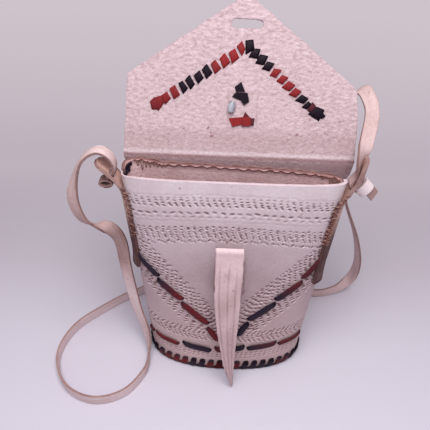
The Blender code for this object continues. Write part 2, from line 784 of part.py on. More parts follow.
def build_arm_lace(name, arm, knot_at_start, lace):
    """Bars across the rough side, slanting over to the next slit on the smooth side."""
    middles, along, across = arm_stitches(arm)
    front = LEATHER / 2.0 + GAP + LACE / 2.0
    back = -front
    points = []
    widths = []
    last = len(middles) - 1
    for k, middle in enumerate(middles):
        knot = k == (0 if knot_at_start else last)
        width = KNOT_BAR if knot else BAR_WIDTH
        shift = along * ((-1.0 if knot_at_start else 1.0) * (KNOT_BAR - BAR_WIDTH) / 2.0 if knot else 0.0)
        low = middle - across * BAR_ACROSS / 2.0
        high = middle + across * BAR_ACROSS / 2.0
        inner = across * LACE_CHAMFER
        stitch = [
            (low, back, BAR_NECK),
            (low, front - LACE_CHAMFER, BAR_NECK),
            (low + inner, front, BAR_NECK),
            (low + inner * 3.0 + shift, front, width),
            (high - inner * 3.0 + shift, front, width),
            (high - inner, front, BAR_NECK),
            (high, front - LACE_CHAMFER, BAR_NECK),
            (high, back, BAR_NECK),
        ]
        for spot, n, size in stitch:
            points.append((spot.x, spot.y, n))
            widths.append(size)
    bm = bmesh.new()
    add_ribbon(bm, points, Vector((along.x, along.y, 0.0)), widths, LACE)
    to_flap(bm)
    return place_flap(add_object(name, bm, lace))


def piece_ends(piece):
    middle, length, _, angle = piece
    middle = Vector(middle)
    along = Vector((math.cos(math.radians(angle)), math.sin(math.radians(angle))))
    return middle - along * length / 2.0, middle + along * length / 2.0, along


def add_piece_slits(slits, piece):
    start, end, along = piece_ends(piece)
    for spot in (start, end):
        add_slit(slits, spot, (-along.y, along.x), piece[2] * 0.72 + 2 * SLIT_CLEARANCE,
                 LACE + 2 * SLIT_CLEARANCE, -LEATHER, LEATHER)


def build_piece(name, piece, lace):
    """A short lace through two slits, its ends turned in on the smooth side."""
    start, end, along = piece_ends(piece)
    width = piece[2]
    neck = width * 0.72
    front = LEATHER / 2.0 + GAP + LACE / 2.0
    chamfer = along * LACE_CHAMFER
    tail = along * piece[1] * 0.3
    stitch = [
        (start + tail, -front, neck),
        (start, -front, neck),
        (start, front - LACE_CHAMFER, neck),
        (start + chamfer, front, neck),
        (start + chamfer * 4.0, front, width),
        (end - chamfer * 4.0, front, width),
        (end - chamfer, front, neck),
        (end, front - LACE_CHAMFER, neck),
        (end, -front, neck),
        (end - tail, -front, neck),
    ]
    bm = bmesh.new()
    points = [(spot.x, spot.y, n) for spot, n, _ in stitch]
    add_ribbon(bm, points, Vector((-along.y, along.x, 0.0)), [size for _, _, size in stitch], LACE)
    to_flap(bm)
    return place_flap(add_object(name, bm, lace))


def build_flap(leather):
    """The free part of the flap, with a round edge on the fold line."""
    radius = LEATHER / 2.0
    bm = bmesh.new()
    add_prism(bm, flap_outline(0.0), -radius, radius)
    slits = bmesh.new()
    add_prism(slits, slot_outline(), -LEATHER, LEATHER)
    for arm in (LEFT_ARM, RIGHT_ARM):
        add_arm_slits(slits, arm)
    for piece in (BLACK_PIECE, RED_PIECE):
        add_piece_slits(slits, piece)
    bm = cut(bm, slits)
    roll = bmesh.new()
    bmesh.ops.create_cone(roll, cap_ends=True, segments=16, radius1=radius, radius2=radius,
                          depth=FLAP_RIGHT - FLAP_LEFT)
    bmesh.ops.rotate(roll, verts=roll.verts, matrix=Matrix.Rotation(math.radians(90.0), 3, "Y"))
    bmesh.ops.translate(roll, verts=roll.verts, vec=((FLAP_RIGHT + FLAP_LEFT) / 2.0, 0.0, 0.0))
    bm = cut(bm, roll, "UNION")
    to_flap(bm)
    return place_flap(add_object("flap", bm, leather))


def build_margin(leather):
    """The strip of the flap's leather below the fold, sewn to the outside of the back panel."""
    slope = (back_y(0.0) - back_y(HEIGHT)) / HEIGHT
    lean = math.atan(slope)
    radius = LEATHER / 2.0
    top = -radius - GAP
    foot = -MARGIN_DEPTH
    outline = [(FLAP_LEFT, top), (FLAP_LEFT, top - 6.0 * MM), (FLAP_LEFT + MARGIN_TAPER, foot),
               (FLAP_RIGHT - MARGIN_TAPER, foot), (FLAP_RIGHT, top - 6.0 * MM), (FLAP_RIGHT, top)]
    bm = bmesh.new()
    add_prism(bm, outline, -radius, radius)
    to_flap(bm)
    item = add_object("flap_margin", bm, leather)
    item.location = fold_point()
    item.rotation_euler = (lean, 0.0, 0.0)
    return item


def build_bead(glass):
    bm = bmesh.new()
    bmesh.ops.create_uvsphere(bm, u_segments=14, v_segments=8, radius=0.5)
    width, height, thick = BEAD_SIZE
    bmesh.ops.scale(bm, verts=bm.verts, vec=(width, thick, height))
    x, u = BEAD_PLACE
    stand_off = LEATHER / 2.0 + GAP + thick / 2.0
    bmesh.ops.translate(bm, verts=bm.verts, vec=(x, -stand_off, u))
    return place_flap(add_object("flap_bead", bm, glass, flat=False))


# Closing tongue

def build_tongue_root(leather):
    """From inside the bag out through its slit and up to the fold."""
    outer = front_y(TONGUE_SLIT_HEIGHT)
    inside = outer + LEATHER + GAP + TONGUE / 2.0
    outside = outer - GAP - TONGUE / 2.0
    foot = TONGUE_SLIT_HEIGHT - TONGUE_ROOT_LENGTH
    lean = (front_y(foot) - front_y(TONGUE_SLIT_HEIGHT))
    behind = FOLD_Y + FOLD_RADIUS - TONGUE / 2.0
    head = FOLD_Z - FOLD_RADIUS - 2 * GAP
    route = [
        (TONGUE_SLIT_X, inside + lean, foot),
        (TONGUE_SLIT_X, inside, TONGUE_SLIT_HEIGHT),
        (TONGUE_SLIT_X, outside, TONGUE_SLIT_HEIGHT),
        (TONGUE_SLIT_X / 2.0, (outside + behind) / 2.0, (TONGUE_SLIT_HEIGHT + head) / 2.0),
        (0.0, behind, head),
    ]
    widths = [TONGUE_ROOT_WIDTH, TONGUE_ROOT_WIDTH, TONGUE_ROOT_WIDTH,
              (TONGUE_ROOT_WIDTH + TONGUE_FOLD_WIDTH) / 2.0, TONGUE_FOLD_WIDTH]
    bm = bmesh.new()
    add_ribbon(bm, route, Vector((1.0, 0.0, 0.0)), widths, TONGUE)
    return add_object("tongue_root", bm, leather)


def build_tongue(leather):
    """The hanging part, rolled round the fold line and cut to a point."""
    lengths = [0.0]
    for (y0, z0), (y1, z1) in zip(TONGUE_ROUTE, TONGUE_ROUTE[1:]):
        lengths.append(lengths[-1] + math.hypot(y1 - y0, z1 - z0))
    total = lengths[-1]
    points = []
    widths = []
    for (y, z), length in zip(TONGUE_ROUTE, lengths):
        points.append((TONGUE_DRIFT * length / total, y - FOLD_Y, z - FOLD_Z))
        taper = min(1.0, (total - length + 2.0 * MM) / (total - TONGUE_STRAIGHT))
        widths.append(max(1.2 * MM, TONGUE_FOLD_WIDTH * taper))
    bm = bmesh.new()
    add_ribbon(bm, points, Vector((1.0, 0.0, 0.0)), widths, TONGUE)
    roll = bmesh.new()
    bmesh.ops.create_cone(roll, cap_ends=True, segments=16, radius1=FOLD_RADIUS, radius2=FOLD_RADIUS,
                          depth=TONGUE_FOLD_WIDTH)
    bmesh.ops.rotate(roll, verts=roll.verts, matrix=Matrix.Rotation(math.radians(90.0), 3, "Y"))
    tongue = add_object("closing_tongue", cut(bm, roll, "UNION"), leather)
    tongue.location = (0.0, FOLD_Y, FOLD_Z)
    return tongue


# Side tabs

def build_tab(name, side, ear, slot_up, leather):
    """A strap sewn over the side seam; its head stands off as an ear with a slot."""
    seam = side * GIRTH / 4.0
    radius = TAB_WIDTH / 2.0
    route = Route(ear, steps=3)
    rows = []
    count = 7
    for k in range(count):
        rows.append(("wall", TAB_FOOT + (TAB_LEAVES - TAB_FOOT) * k / count, 1.0))
    straight = route.length - radius
    number = 9
    for k in range(number):
        rows.append(("ear", straight * k / number, 1.0))
    for k in range(6):
        angle = math.radians(90.0 * k / 5.2)
        rows.append(("ear", straight + radius * math.sin(angle), math.cos(angle)))
    columns = [-1.0 + 2.0 * k / 8.0 for k in range(9)]

    def place(column, row, w):
        kind, distance, share = row
        s = seam + side * column * radius * share
        if kind == "wall":
            loose = TAB_LOOSE * max(0.0, 1.0 - (distance - TAB_FOOT) / (22.0 * MM)) ** 2
            return wrap(s, distance, GAP + LEATHER / 2.0 + w + loose)
        spot, direction = route.at(distance)
        flat = wrap(s, TAB_LEAVES, GAP + LEATHER / 2.0)
        out = Vector((side * direction.y, 0.0, -direction.x))
        return flat + Vector((side * spot.x, 0.0, spot.y)) + out * w

    bm = bmesh.new()
    add_grid(bm, columns, rows, -LEATHER / 2.0, LEATHER / 2.0, place)
    slot = bmesh.new()
    center, out = ear_slot(side, ear, slot_up)
    width, height = EAR_SLOT
    bmesh.ops.create_cube(slot, size=1.0)
    bmesh.ops.scale(slot, verts=slot.verts, vec=(LEATHER * 3.0, width, height))
    bmesh.ops.rotate(slot, verts=slot.verts, matrix=Matrix.Rotation(math.atan2(-out.z, out.x), 3, "Y"))
    bmesh.ops.translate(slot, verts=slot.verts, vec=center)
    bm = cut(bm, slot)
    return add_object(name, bm, leather)


def ear_slot(side, ear, slot_up):
    """Middle of an ear's slot and the direction straight out of it."""
    route = Route(ear, steps=3)
    distance = 0.0
    while route.at(distance)[0].y < slot_up:
        distance += 0.1 * MM
    spot, direction = route.at(distance)
    flat = wrap(side * GIRTH / 4.0, TAB_LEAVES, GAP + LEATHER / 2.0)
    center = flat + Vector((side * spot.x, 0.0, spot.y))
    return center, Vector((side * direction.y, 0.0, -direction.x))


# Shoulder strap

def strap_line():
    """Smooth middle line of the strap through its route, with the width direction at each point."""
    rows = [(Vector(row[:3]) * MM, Vector(row[3:]).normalized()) for row in STRAP_ROUTE]
    points = []
    across = []
    last = len(rows) - 1
    for i in range(last):
        before = rows[max(i - 1, 0)]
        after = rows[min(i + 2, last)]
        steps = max(1, math.ceil((rows[i + 1][0] - rows[i][0]).length / STRAP_STEP))
        for k in range(steps):
            t = k / steps
            for line, n in ((points, 0), (across, 1)):
                p0, p1, p2, p3 = before[n], rows[i][n], rows[i + 1][n], after[n]
                line.append(0.5 * (2 * p1 + (p2 - p0) * t + (2 * p0 - 5 * p1 + 4 * p2 - p3) * t * t
                                   + (3 * p1 - p0 - 3 * p2 + p3) * t ** 3))
    points.append(rows[last][0])
    across.append(rows[last][1])
    for i, side in enumerate(across):
        along = (points[min(i + 1, len(points) - 1)] - points[max(i - 1, 0)]).normalized()
        across[i] = (side - along * side.dot(along)).normalized()
    return points, across


def build_strap(leather):
    points, across = strap_line()
    bm = bmesh.new()
    add_ribbon(bm, points, across, STRAP_WIDTH, STRAP)
    return add_object("shoulder_strap", bm, leather)


def add_knot_ring(bm, knot, share):
    """A rounded block along Y; share scales its outline."""
    (x, y, z), (half_x, half_z), depth = knot
    outline = []
    count = 16
    for k in range(count):
        angle = 2.0 * math.pi * k / count
        outline.append(((x + share * half_x * math.cos(angle)) * MM, (z + share * half_z * math.sin(angle)) * MM))
    reach = depth / 2.0 if share == 1.0 else depth
    add_prism(bm, outline, (y - reach) * MM, (y + reach) * MM)
    for vertex in bm.verts:
        vertex.co = (vertex.co.x, vertex.co.z, vertex.co.y)


def build_knots(leather):
    bm = bmesh.new()
    add_knot_ring(bm, LEFT_KNOT, 1.0)
    hole = bmesh.new()
    add_knot_ring(hole, LEFT_KNOT, KNOT_HOLE)
    add_object("strap_knot_left", cut(bm, hole), leather)

    bm = bmesh.new()
    add_knot_ring(bm, RIGHT_KNOT, 1.0)
    tail = bmesh.new()
    add_ribbon(tail, [Vector(p) * MM for p in KNOT_TAIL], Vector((0.0, 1.0, 0.0)),
               [STRAP_WIDTH * 0.7, STRAP_WIDTH * 0.7, STRAP_WIDTH * 0.5], STRAP)
    add_object("strap_knot_right", cut(bm, tail, "UNION"), leather)


def main():
    clear_scene()
    leather = make_material("natural_leather", (0.72, 0.53, 0.53), 0.6)
    nap = make_material("leather_rough_side", (0.70, 0.50, 0.50), 0.85)
    lace = make_material("dyed_lace", (0.10, 0.035, 0.04), 0.55)
    red = make_material("red_lace", (0.33, 0.05, 0.04), 0.55)
    black = make_material("black_lace", (0.02, 0.02, 0.03), 0.55)
    glass = make_material("grey_bead", (0.45, 0.48, 0.50), 0.25)

    build_base(leather)
    build_front(leather, lace)
    build_back(leather)
    build_base_lace(lace)
    build_corner_lace(black)
    build_margin(nap)
    build_flap(nap)
    build_arm_lace("flap_lace_left", LEFT_ARM, True, lace)
    build_arm_lace("flap_lace_right", RIGHT_ARM, False, lace)
    build_piece("flap_lace_black", BLACK_PIECE, black)
    build_piece("flap_lace_red", RED_PIECE, red)
    build_bead(glass)
    build_tongue_root(leather)
    build_tongue(leather)
    build_tab("side_tab_left", -1.0, LEFT_EAR, LEFT_SLOT_UP, leather)
    build_tab("side_tab_right", 1.0, RIGHT_EAR, RIGHT_SLOT_UP, leather)
    build_strap(leather)
    build_knots(leather)


main()
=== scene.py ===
import math
from functools import lru_cache

import bmesh
import bpy
import numpy as np
from mathutils import Matrix, Vector, noise


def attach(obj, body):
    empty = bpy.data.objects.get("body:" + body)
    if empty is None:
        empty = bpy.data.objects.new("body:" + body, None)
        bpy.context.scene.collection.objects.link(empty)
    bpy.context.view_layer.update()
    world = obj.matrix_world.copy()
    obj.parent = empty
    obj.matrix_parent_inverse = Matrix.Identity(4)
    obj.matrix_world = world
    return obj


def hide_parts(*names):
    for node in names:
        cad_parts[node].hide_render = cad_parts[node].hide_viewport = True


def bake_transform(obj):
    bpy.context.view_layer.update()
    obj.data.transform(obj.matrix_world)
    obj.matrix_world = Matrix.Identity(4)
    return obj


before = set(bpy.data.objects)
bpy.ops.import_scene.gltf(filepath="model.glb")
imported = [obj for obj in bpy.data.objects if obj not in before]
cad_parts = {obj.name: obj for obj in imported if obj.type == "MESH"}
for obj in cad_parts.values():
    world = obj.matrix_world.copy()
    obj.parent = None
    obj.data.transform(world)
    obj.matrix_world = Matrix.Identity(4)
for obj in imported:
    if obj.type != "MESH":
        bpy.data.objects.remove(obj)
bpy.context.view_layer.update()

scene = bpy.context.scene
MM = 0.001


# Camera. It looks down at the bag from the front, from a little to its left.

scene.view_settings.view_transform = "Standard"
camera = bpy.data.objects.new("camera", bpy.data.cameras.new("camera"))
scene.collection.objects.link(camera)
camera.data.lens = 37.97
camera.data.sensor_width = 36.0
camera.data.clip_start = 0.01
forward = Vector((-0.019, 0.7831, -0.6216)).normalized()
right = Vector((0.999, 0.0401, 0.0199))
up = right.cross(forward).normalized()
right = forward.cross(up)
stand = Matrix((right, up, -forward)).transposed().to_4x4()
stand.translation = Vector((-0.0071, -0.3235, 0.4361))
camera.matrix_world = stand
scene.camera = camera


# Floor and light. A plain pale sheet of paper, lit by a broad soft lamp over the front
# of the bag and by the pale room round it.

def shade(red, green, blue):
    """A colour as the eye sees it, 0 to 255, as the numbers that a shader takes."""
    parts = []
    for value in (red, green, blue):
        value /= 255.0
        parts.append(value / 12.92 if value <= 0.04045 else ((value + 0.055) / 1.055) ** 2.4)
    return (*parts, 1.0)


def new_material(name, roughness, gloss=0.5):
    material = bpy.data.materials.new(name)
    material.use_nodes = True
    tree = material.node_tree
    shader = tree.nodes["Principled BSDF"]
    shader.inputs["Roughness"].default_value = roughness
    shader.inputs["Specular IOR Level"].default_value = gloss
    return material, tree, shader


def add_node(tree, kind, **values):
    """A node with its settings and its plain inputs filled in; linked sockets are given as sockets."""
    node = tree.nodes.new("ShaderNode" + kind)
    for key, value in values.items():
        if hasattr(node, key) and key not in node.inputs:
            setattr(node, key, value)
            continue
        socket = node.inputs[int(key[1:])] if key[0] == "_" else node.inputs[key.replace("_", " ")]
        if isinstance(value, bpy.types.NodeSocket):
            tree.links.new(value, socket)
        else:
            socket.default_value = value
    return node


def ramp(tree, factor, *stops):
    """A colour ramp over factor with stops of (position, colour)."""
    node = add_node(tree, "ValToRGB", Fac=factor)
    while len(node.color_ramp.elements) < len(stops):
        node.color_ramp.elements.new(0.5)
    for element, (position, colour) in zip(node.color_ramp.elements, stops):
        element.position = position
        element.color = colour if len(colour) == 4 else (*colour, 1.0)
    return node.outputs["Color"]


paper, tree, shader = new_material("paper", 0.9, 0.1)
place = add_node(tree, "TexCoord").outputs["Object"]
depth = add_node(tree, "SeparateXYZ", Vector=place).outputs["Y"]
near = add_node(tree, "MapRange", Value=depth, From_Min=-0.1, From_Max=0.3).outputs["Result"]
# Painted shade: the paper darkens from the front of the bag towards the back, as the lamp's light falls off.
painted_falloff = ramp(tree, near, (0.0, shade(212, 205, 218)), (0.25, shade(208, 200, 213)), (0.55, shade(196, 186, 197)),
            (1.0, shade(190, 180, 190)))
tree.links.new(painted_falloff, shader.inputs["Base Color"])
far = add_node(tree, "MapRange", Value=depth, From_Min=0.0, From_Max=1.5).outputs["Result"]
# Far off, camera rays see a glow whose colour carries painted shade, darkest in a band behind the bag.
painted_backdrop = ramp(tree, far, (0.0, shade(208, 197, 211)), (0.09, shade(197, 188, 202)), (0.14, shade(190, 179, 190)),
            (0.27, shade(189, 178, 188)), (0.4, shade(196, 185, 194)), (0.6, shade(202, 191, 199)),
            (0.93, shade(206, 195, 203)))
glow = add_node(tree, "Emission", Color=painted_backdrop).outputs[0]
away = add_node(tree, "MapRange", Value=depth, From_Min=0.16, From_Max=0.34).outputs["Result"]
seen = add_node(tree, "LightPath").outputs["Is Camera Ray"]
share = add_node(tree, "Math", operation="MULTIPLY", _0=away, _1=seen).outputs[0]
both = add_node(tree, "MixShader", _0=share, _1=shader.outputs[0], _2=glow).outputs[0]
tree.links.new(both, tree.nodes["Material Output"].inputs["Surface"])

bm = bmesh.new()
bmesh.ops.create_grid(bm, x_segments=2, y_segments=2, size=4.0)
mesh = bpy.data.meshes.new("floor")
bm.to_mesh(mesh)
bm.free()
mesh.materials.append(paper)
floor = bpy.data.objects.new("floor", mesh)
scene.collection.objects.link(floor)

world = bpy.data.worlds.new("room")
world.use_nodes = True
scene.world = world
tree = world.node_tree
air = tree.nodes["Background"]
air.inputs["Color"].default_value = (0.86, 0.85, 0.88, 1.0)
air.inputs["Strength"].default_value = 0.5
wall = add_node(tree, "Background", Color=shade(206, 195, 203)).outputs[0]
seen = add_node(tree, "LightPath").outputs["Is Camera Ray"]
room = add_node(tree, "MixShader", _0=seen, _1=air.outputs[0], _2=wall).outputs[0]
tree.links.new(room, tree.nodes["World Output"].inputs["Surface"])

lamp =bpy.data.lights.new("soft lamp", "AREA")
lamp.shape = "DISK"
lamp.size = 0.55
lamp.energy = 6.0
item = bpy.data.objects.new("soft lamp", lamp)
scene.collection.objects.link(item)
item.location = (0.01, -0.26, 0.85)
item.rotation_euler = (Vector((0.0, 0.0, 0.15)) - item.location).to_track_quat("-Z", "Y").to_euler()


# Base plate. A flat oval of the same undyed leather, its edge pared thin underneath so that
# the lacing lies flush. It keeps its own solid and only gets its leather here.

def mix(tree, factor, first, second, blend="MIX"):
    """One colour over another; any of the three may be a socket."""
    node = tree.nodes.new("ShaderNodeMix")
    node.data_type = "RGBA"
    node.blend_type = blend
    for index, value in ((0, factor), (6, first), (7, second)):
        if isinstance(value, bpy.types.NodeSocket):
            tree.links.new(value, node.inputs[index])
        else:
            node.inputs[index].default_value = value
    return node.outputs[2]


def cover(tree, shader, colour, height, strength, distance):
    """Gives a shader its colour and its bumps, which stand out by the distance in metres."""
    bump = add_node(tree, "Bump", Strength=strength, Distance=distance, Height=height)
    tree.links.new(colour, shader.inputs["Base Color"])
    tree.links.new(bump.outputs["Normal"], shader.inputs["Normal"])


def leather(name, pale, deep, stain, fluff=0.0, use_map=False, shade_by_height=()):
    """Undyed leather, mottled between two tones, with specks, grain and darker tool marks.

    fluff is 0 for the smooth side and 1 for the rough side. Tool marks, dirtied edges and
    painted shade in creases, folds and where less light falls come from the mesh, as the
    attribute mark; below 0 it is a painted highlight, a paler colour. The tints given by
    height, as stops of a ramp in metres, are painted shade.
    """
    material, tree, shader = new_material(name, 0.62 + 0.25 * fluff, 0.35 - 0.15 * fluff)
    coordinate = add_node(tree, "TexCoord")
    place = coordinate.outputs["UV" if use_map else "Object"]
    wide = add_node(tree, "TexNoise", Vector=place, Scale=24.0, Detail=4.0, Roughness=0.6).outputs["Fac"]
    squat = add_node(tree, "Mapping", Vector=place, Scale=(1.0, 2.2, 1.0)).outputs["Vector"]
    tufts = add_node(tree, "TexNoise", Vector=squat, Scale=210.0, Detail=4.0, Roughness=0.6, Distortion=0.8)
    patches = mix(tree, 0.25 + 0.45 * fluff, wide, tufts.outputs["Fac"])
    colour = ramp(tree, patches, (0.36, deep), (0.6, pale))
    fine = add_node(tree, "TexNoise", Vector=place, Scale=430.0, Detail=3.0, Roughness=0.7).outputs["Fac"]
    dust = ramp(tree, fine, (0.32, (0.84, 0.81, 0.82)), (0.58, (1.0, 1.0, 1.0)))
    colour = mix(tree, 0.5 + 0.4 * fluff, colour, dust, "MULTIPLY")
    if shade_by_height:
        height = add_node(tree, "SeparateXYZ", Vector=place).outputs["Y"]
        colour = mix(tree, 1.0, colour, ramp(tree, height, *shade_by_height), "MULTIPLY")
    specks = add_node(tree, "TexNoise", Vector=place, Scale=190.0, Detail=2.0, Roughness=0.5).outputs["Fac"]
    speck = add_node(tree, "MapRange", Value=specks, From_Min=0.69, From_Max=0.75, To_Max=0.55).outputs["Result"]
    colour = mix(tree, speck, colour, stain)
    mark = add_node(tree, "Attribute", attribute_name="mark").outputs["Fac"]
    # Above 0 the mark darkens towards the stain, for tool marks, dirt and painted shade; below 0 it is a painted
    # highlight in a paler colour.
    pressed = add_node(tree, "Clamp", Value=mark).outputs[0]
    painted_highlight = add_node(tree, "MapRange", Value=mark, From_Min=0.0, From_Max=-1.0).outputs["Result"]
    colour = mix(tree, pressed, colour, stain)
    colour = mix(tree, painted_highlight, colour, shade(240, 226, 232))
    pores = add_node(tree, "TexVoronoi", Vector=place, Scale=900.0 - 350.0 * fluff).outputs["Distance"]
    hair = add_node(tree, "TexNoise", Vector=place, Scale=480.0, Detail=4.0, Roughness=0.65).outputs["Fac"]
    cover(tree, shader, colour, mix(tree, 0.5, pores, hair), 0.3 + 0.4 * fluff, 0.0004 + 0.0004 * fluff)
    return material


BASE_LEATHER = leather("base_leather", shade(206, 180, 180), shade(184, 156, 156), shade(110, 82, 84))
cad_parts["base_plate"].material_slots[0].material = BASE_LEATHER


# Front of the bag. One panel of smooth undyed leather, bent round half of the base and
# pressed by hand with rows of small stamps while it was damp and flat. The laces run
# through slits that the stamping goes round.

HEIGHT = 225.0 * MM
GIRTH = 406.2 * MM
BASE_DEPTH = 82.4 * MM
RIM_DEPTH = 27.9 * MM
RIM_SHIFT = -2.0 * MM
BASE_ROUNDING = 2.39
RIM_ROUNDING = 3.74
LEATHER = 2.8 * MM
FOOT = 3.1 * MM          # the wall stands on the base plate
SEAM_GAP = 0.15 * MM     # from each side seam to the cut edge
GRAIN_STEP = 0.73 * MM
INSIDE_STEP = 2.6 * MM
STAMP_DEPTH = 0.5 * MM
STAMP_HEAVE = 0.14 * MM
LEVEL = 0.1 * MM         # from one height at which the outline is worked out to the next
SHARP = math.radians(50.0)


@lru_cache(maxsize=None)
def outline_at(level):
    """A quarter of the bag's outline at a height in levels, as wide as GIRTH allows."""
    z = level * LEVEL
    rounding = BASE_ROUNDING + (RIM_ROUNDING - BASE_ROUNDING) * z / HEIGHT
    half_depth = (BASE_DEPTH + (RIM_DEPTH - BASE_DEPTH) * z / HEIGHT) / 2.0
    angle = np.linspace(0.0, math.pi / 2.0, 400)
    low = GIRTH * 0.05
    high = GIRTH * 0.30
    for _ in range(26):
        half_width = (low + high) / 2.0
        x = half_width * np.sin(angle) ** (2.0 / rounding)
        y = half_depth * np.cos(angle) ** (2.0 / rounding)
        length = np.concatenate([[0.0], np.cumsum(np.hypot(np.diff(x), np.diff(y)))])
        if length[-1] * 4.0 > GIRTH:
            high = half_width
        else:
            low = half_width
    return half_width, half_depth, rounding, x, y, length * (GIRTH / 4.0 / length[-1])


def wrap(s, z, w):
    """From the flat leather to the bag: s round it from the middle of the front, z up, w outwards."""
    half_width, half_depth, rounding, xs, ys, lengths = outline_at(round(z / LEVEL))
    s = (s + GIRTH / 2.0) % GIRTH - GIRTH / 2.0
    along = abs(s)
    front = along <= GIRTH / 4.0
    if not front:
        along = GIRTH / 2.0 - along
    x = float(np.interp(along, lengths, xs))
    y = float(np.interp(along, lengths, ys))
    nx = (x / half_width) ** (rounding - 1.0) / half_width
    ny = (y / half_depth) ** (rounding - 1.0) / half_depth
    size = math.hypot(nx, ny)
    side = 1.0 if s >= 0.0 else -1.0
    face = -1.0 if front else 1.0
    return Vector((side * (x + w * nx / size), face * (y + w * ny / size) + RIM_SHIFT * z / HEIGHT, z))


def cut_sheet(left, right, low, high, step, bm=None):
    """A flat sheet of leather as a fine grid between two corners, alone or beside what bm holds."""
    bm = bmesh.new() if bm is None else bm
    columns = max(1, round((right - left) / step))
    rows = max(1, round((high - low) / step))
    sheet = bmesh.ops.create_grid(bm, x_segments=columns, y_segments=rows, size=0.5)["verts"]
    bmesh.ops.scale(bm, verts=sheet, vec=(right - left, high - low, 1.0))
    bmesh.ops.translate(bm, verts=sheet, vec=((left + right) / 2.0, (low + high) / 2.0, 0.0))
    return bm


def set_map(bm):
    """Keeps the flat lay of a sheet as its UV map, in metres of leather."""
    layer = bm.loops.layers.uv.new("leather")
    for face in bm.faces:
        face.smooth = True
        for loop in face.loops:
            loop[layer].uv = loop.vert.co.xy


def press(bm, marks):
    """Presses marks of (x, y, degrees, length, width, force), in millimetres, into a flat sheet.

    Gives how deep each point is pressed and how far the leather is pushed up on the lower
    side of a mark. Each is a share of the full depth or heave.
    """
    flat = np.array([vertex.co[:2] for vertex in bm.verts]) / MM
    depth = np.zeros(len(flat))
    heave = np.zeros(len(flat))
    for x, y, angle, length, width, force in marks:
        close = np.nonzero((np.abs(flat[:, 0] - x) < length) & (np.abs(flat[:, 1] - y) < length))[0]
        dx = flat[close, 0] - x
        dy = flat[close, 1] - y
        turn = math.radians(angle)
        p = (dx * math.cos(turn) + dy * math.sin(turn)) / (length / 2.0)
        q = (dy * math.cos(turn) - dx * math.sin(turn)) / (width / 2.0)
        depth[close] = np.maximum(depth[close], force * np.clip(1.5 - p * p - q * q, 0.0, 1.0))
        below = p * p + (q + 1.7) ** 2
        heave[close] = np.maximum(heave[close], force * np.clip(1.0 - below, 0.0, 1.0))
    return depth, heave * (depth < 0.05)


def make_piece(name, bm, materials, thickness=0.0, offset=-1.0, soft_edge=0.0):
    """The finished piece. With a thickness, its other side and its cut edge take the next materials."""
    mesh = bpy.data.meshes.new(name)
    bm.to_mesh(mesh)
    bm.free()
    for material in materials:
        mesh.materials.append(material)
    item = bpy.data.objects.new(name, mesh)
    scene.collection.objects.link(item)
    if thickness:
        solid = item.modifiers.new("thickness", "SOLIDIFY")
        solid.thickness = thickness
        solid.offset = offset
        solid.material_offset = min(1, len(materials) - 1)
        solid.material_offset_rim = min(2, len(materials) - 1)
    if soft_edge:
        bevel = item.modifiers.new("soft edge", "BEVEL")
        bevel.width = soft_edge
        bevel.segments = 2
        bevel.limit_method = "ANGLE"
        bevel.angle_limit = SHARP
    return item


# The laces of the V and the upper borders of the bands above them, in millimetres.
LEFT_VEE = ((-88.5, 141.8), (-67, 121), (-44.3, 95.5), (-18, 64), (-7.7, 43.4))
RIGHT_VEE = ((84.7, 146.2), (69, 124.5), (45.6, 98.6), (21, 73), (11.5, 51.8))
LEFT_BORDER = ((-80, 163), (-62.8, 145.2), (-44.7, 123.7), (-25.2, 101.2), (-14.5, 85))
RIGHT_BORDER = ((83, 163.5), (64.6, 146.5), (47.5, 128.5), (32.3, 112.9), (16.5, 96))
BAND_SHARES = (0.2, 0.33, 0.46, 0.59, 0.72, 0.85)
FOOT_ARC = 0.0012   # how the rows round the foot rise to the sides, by the square of x


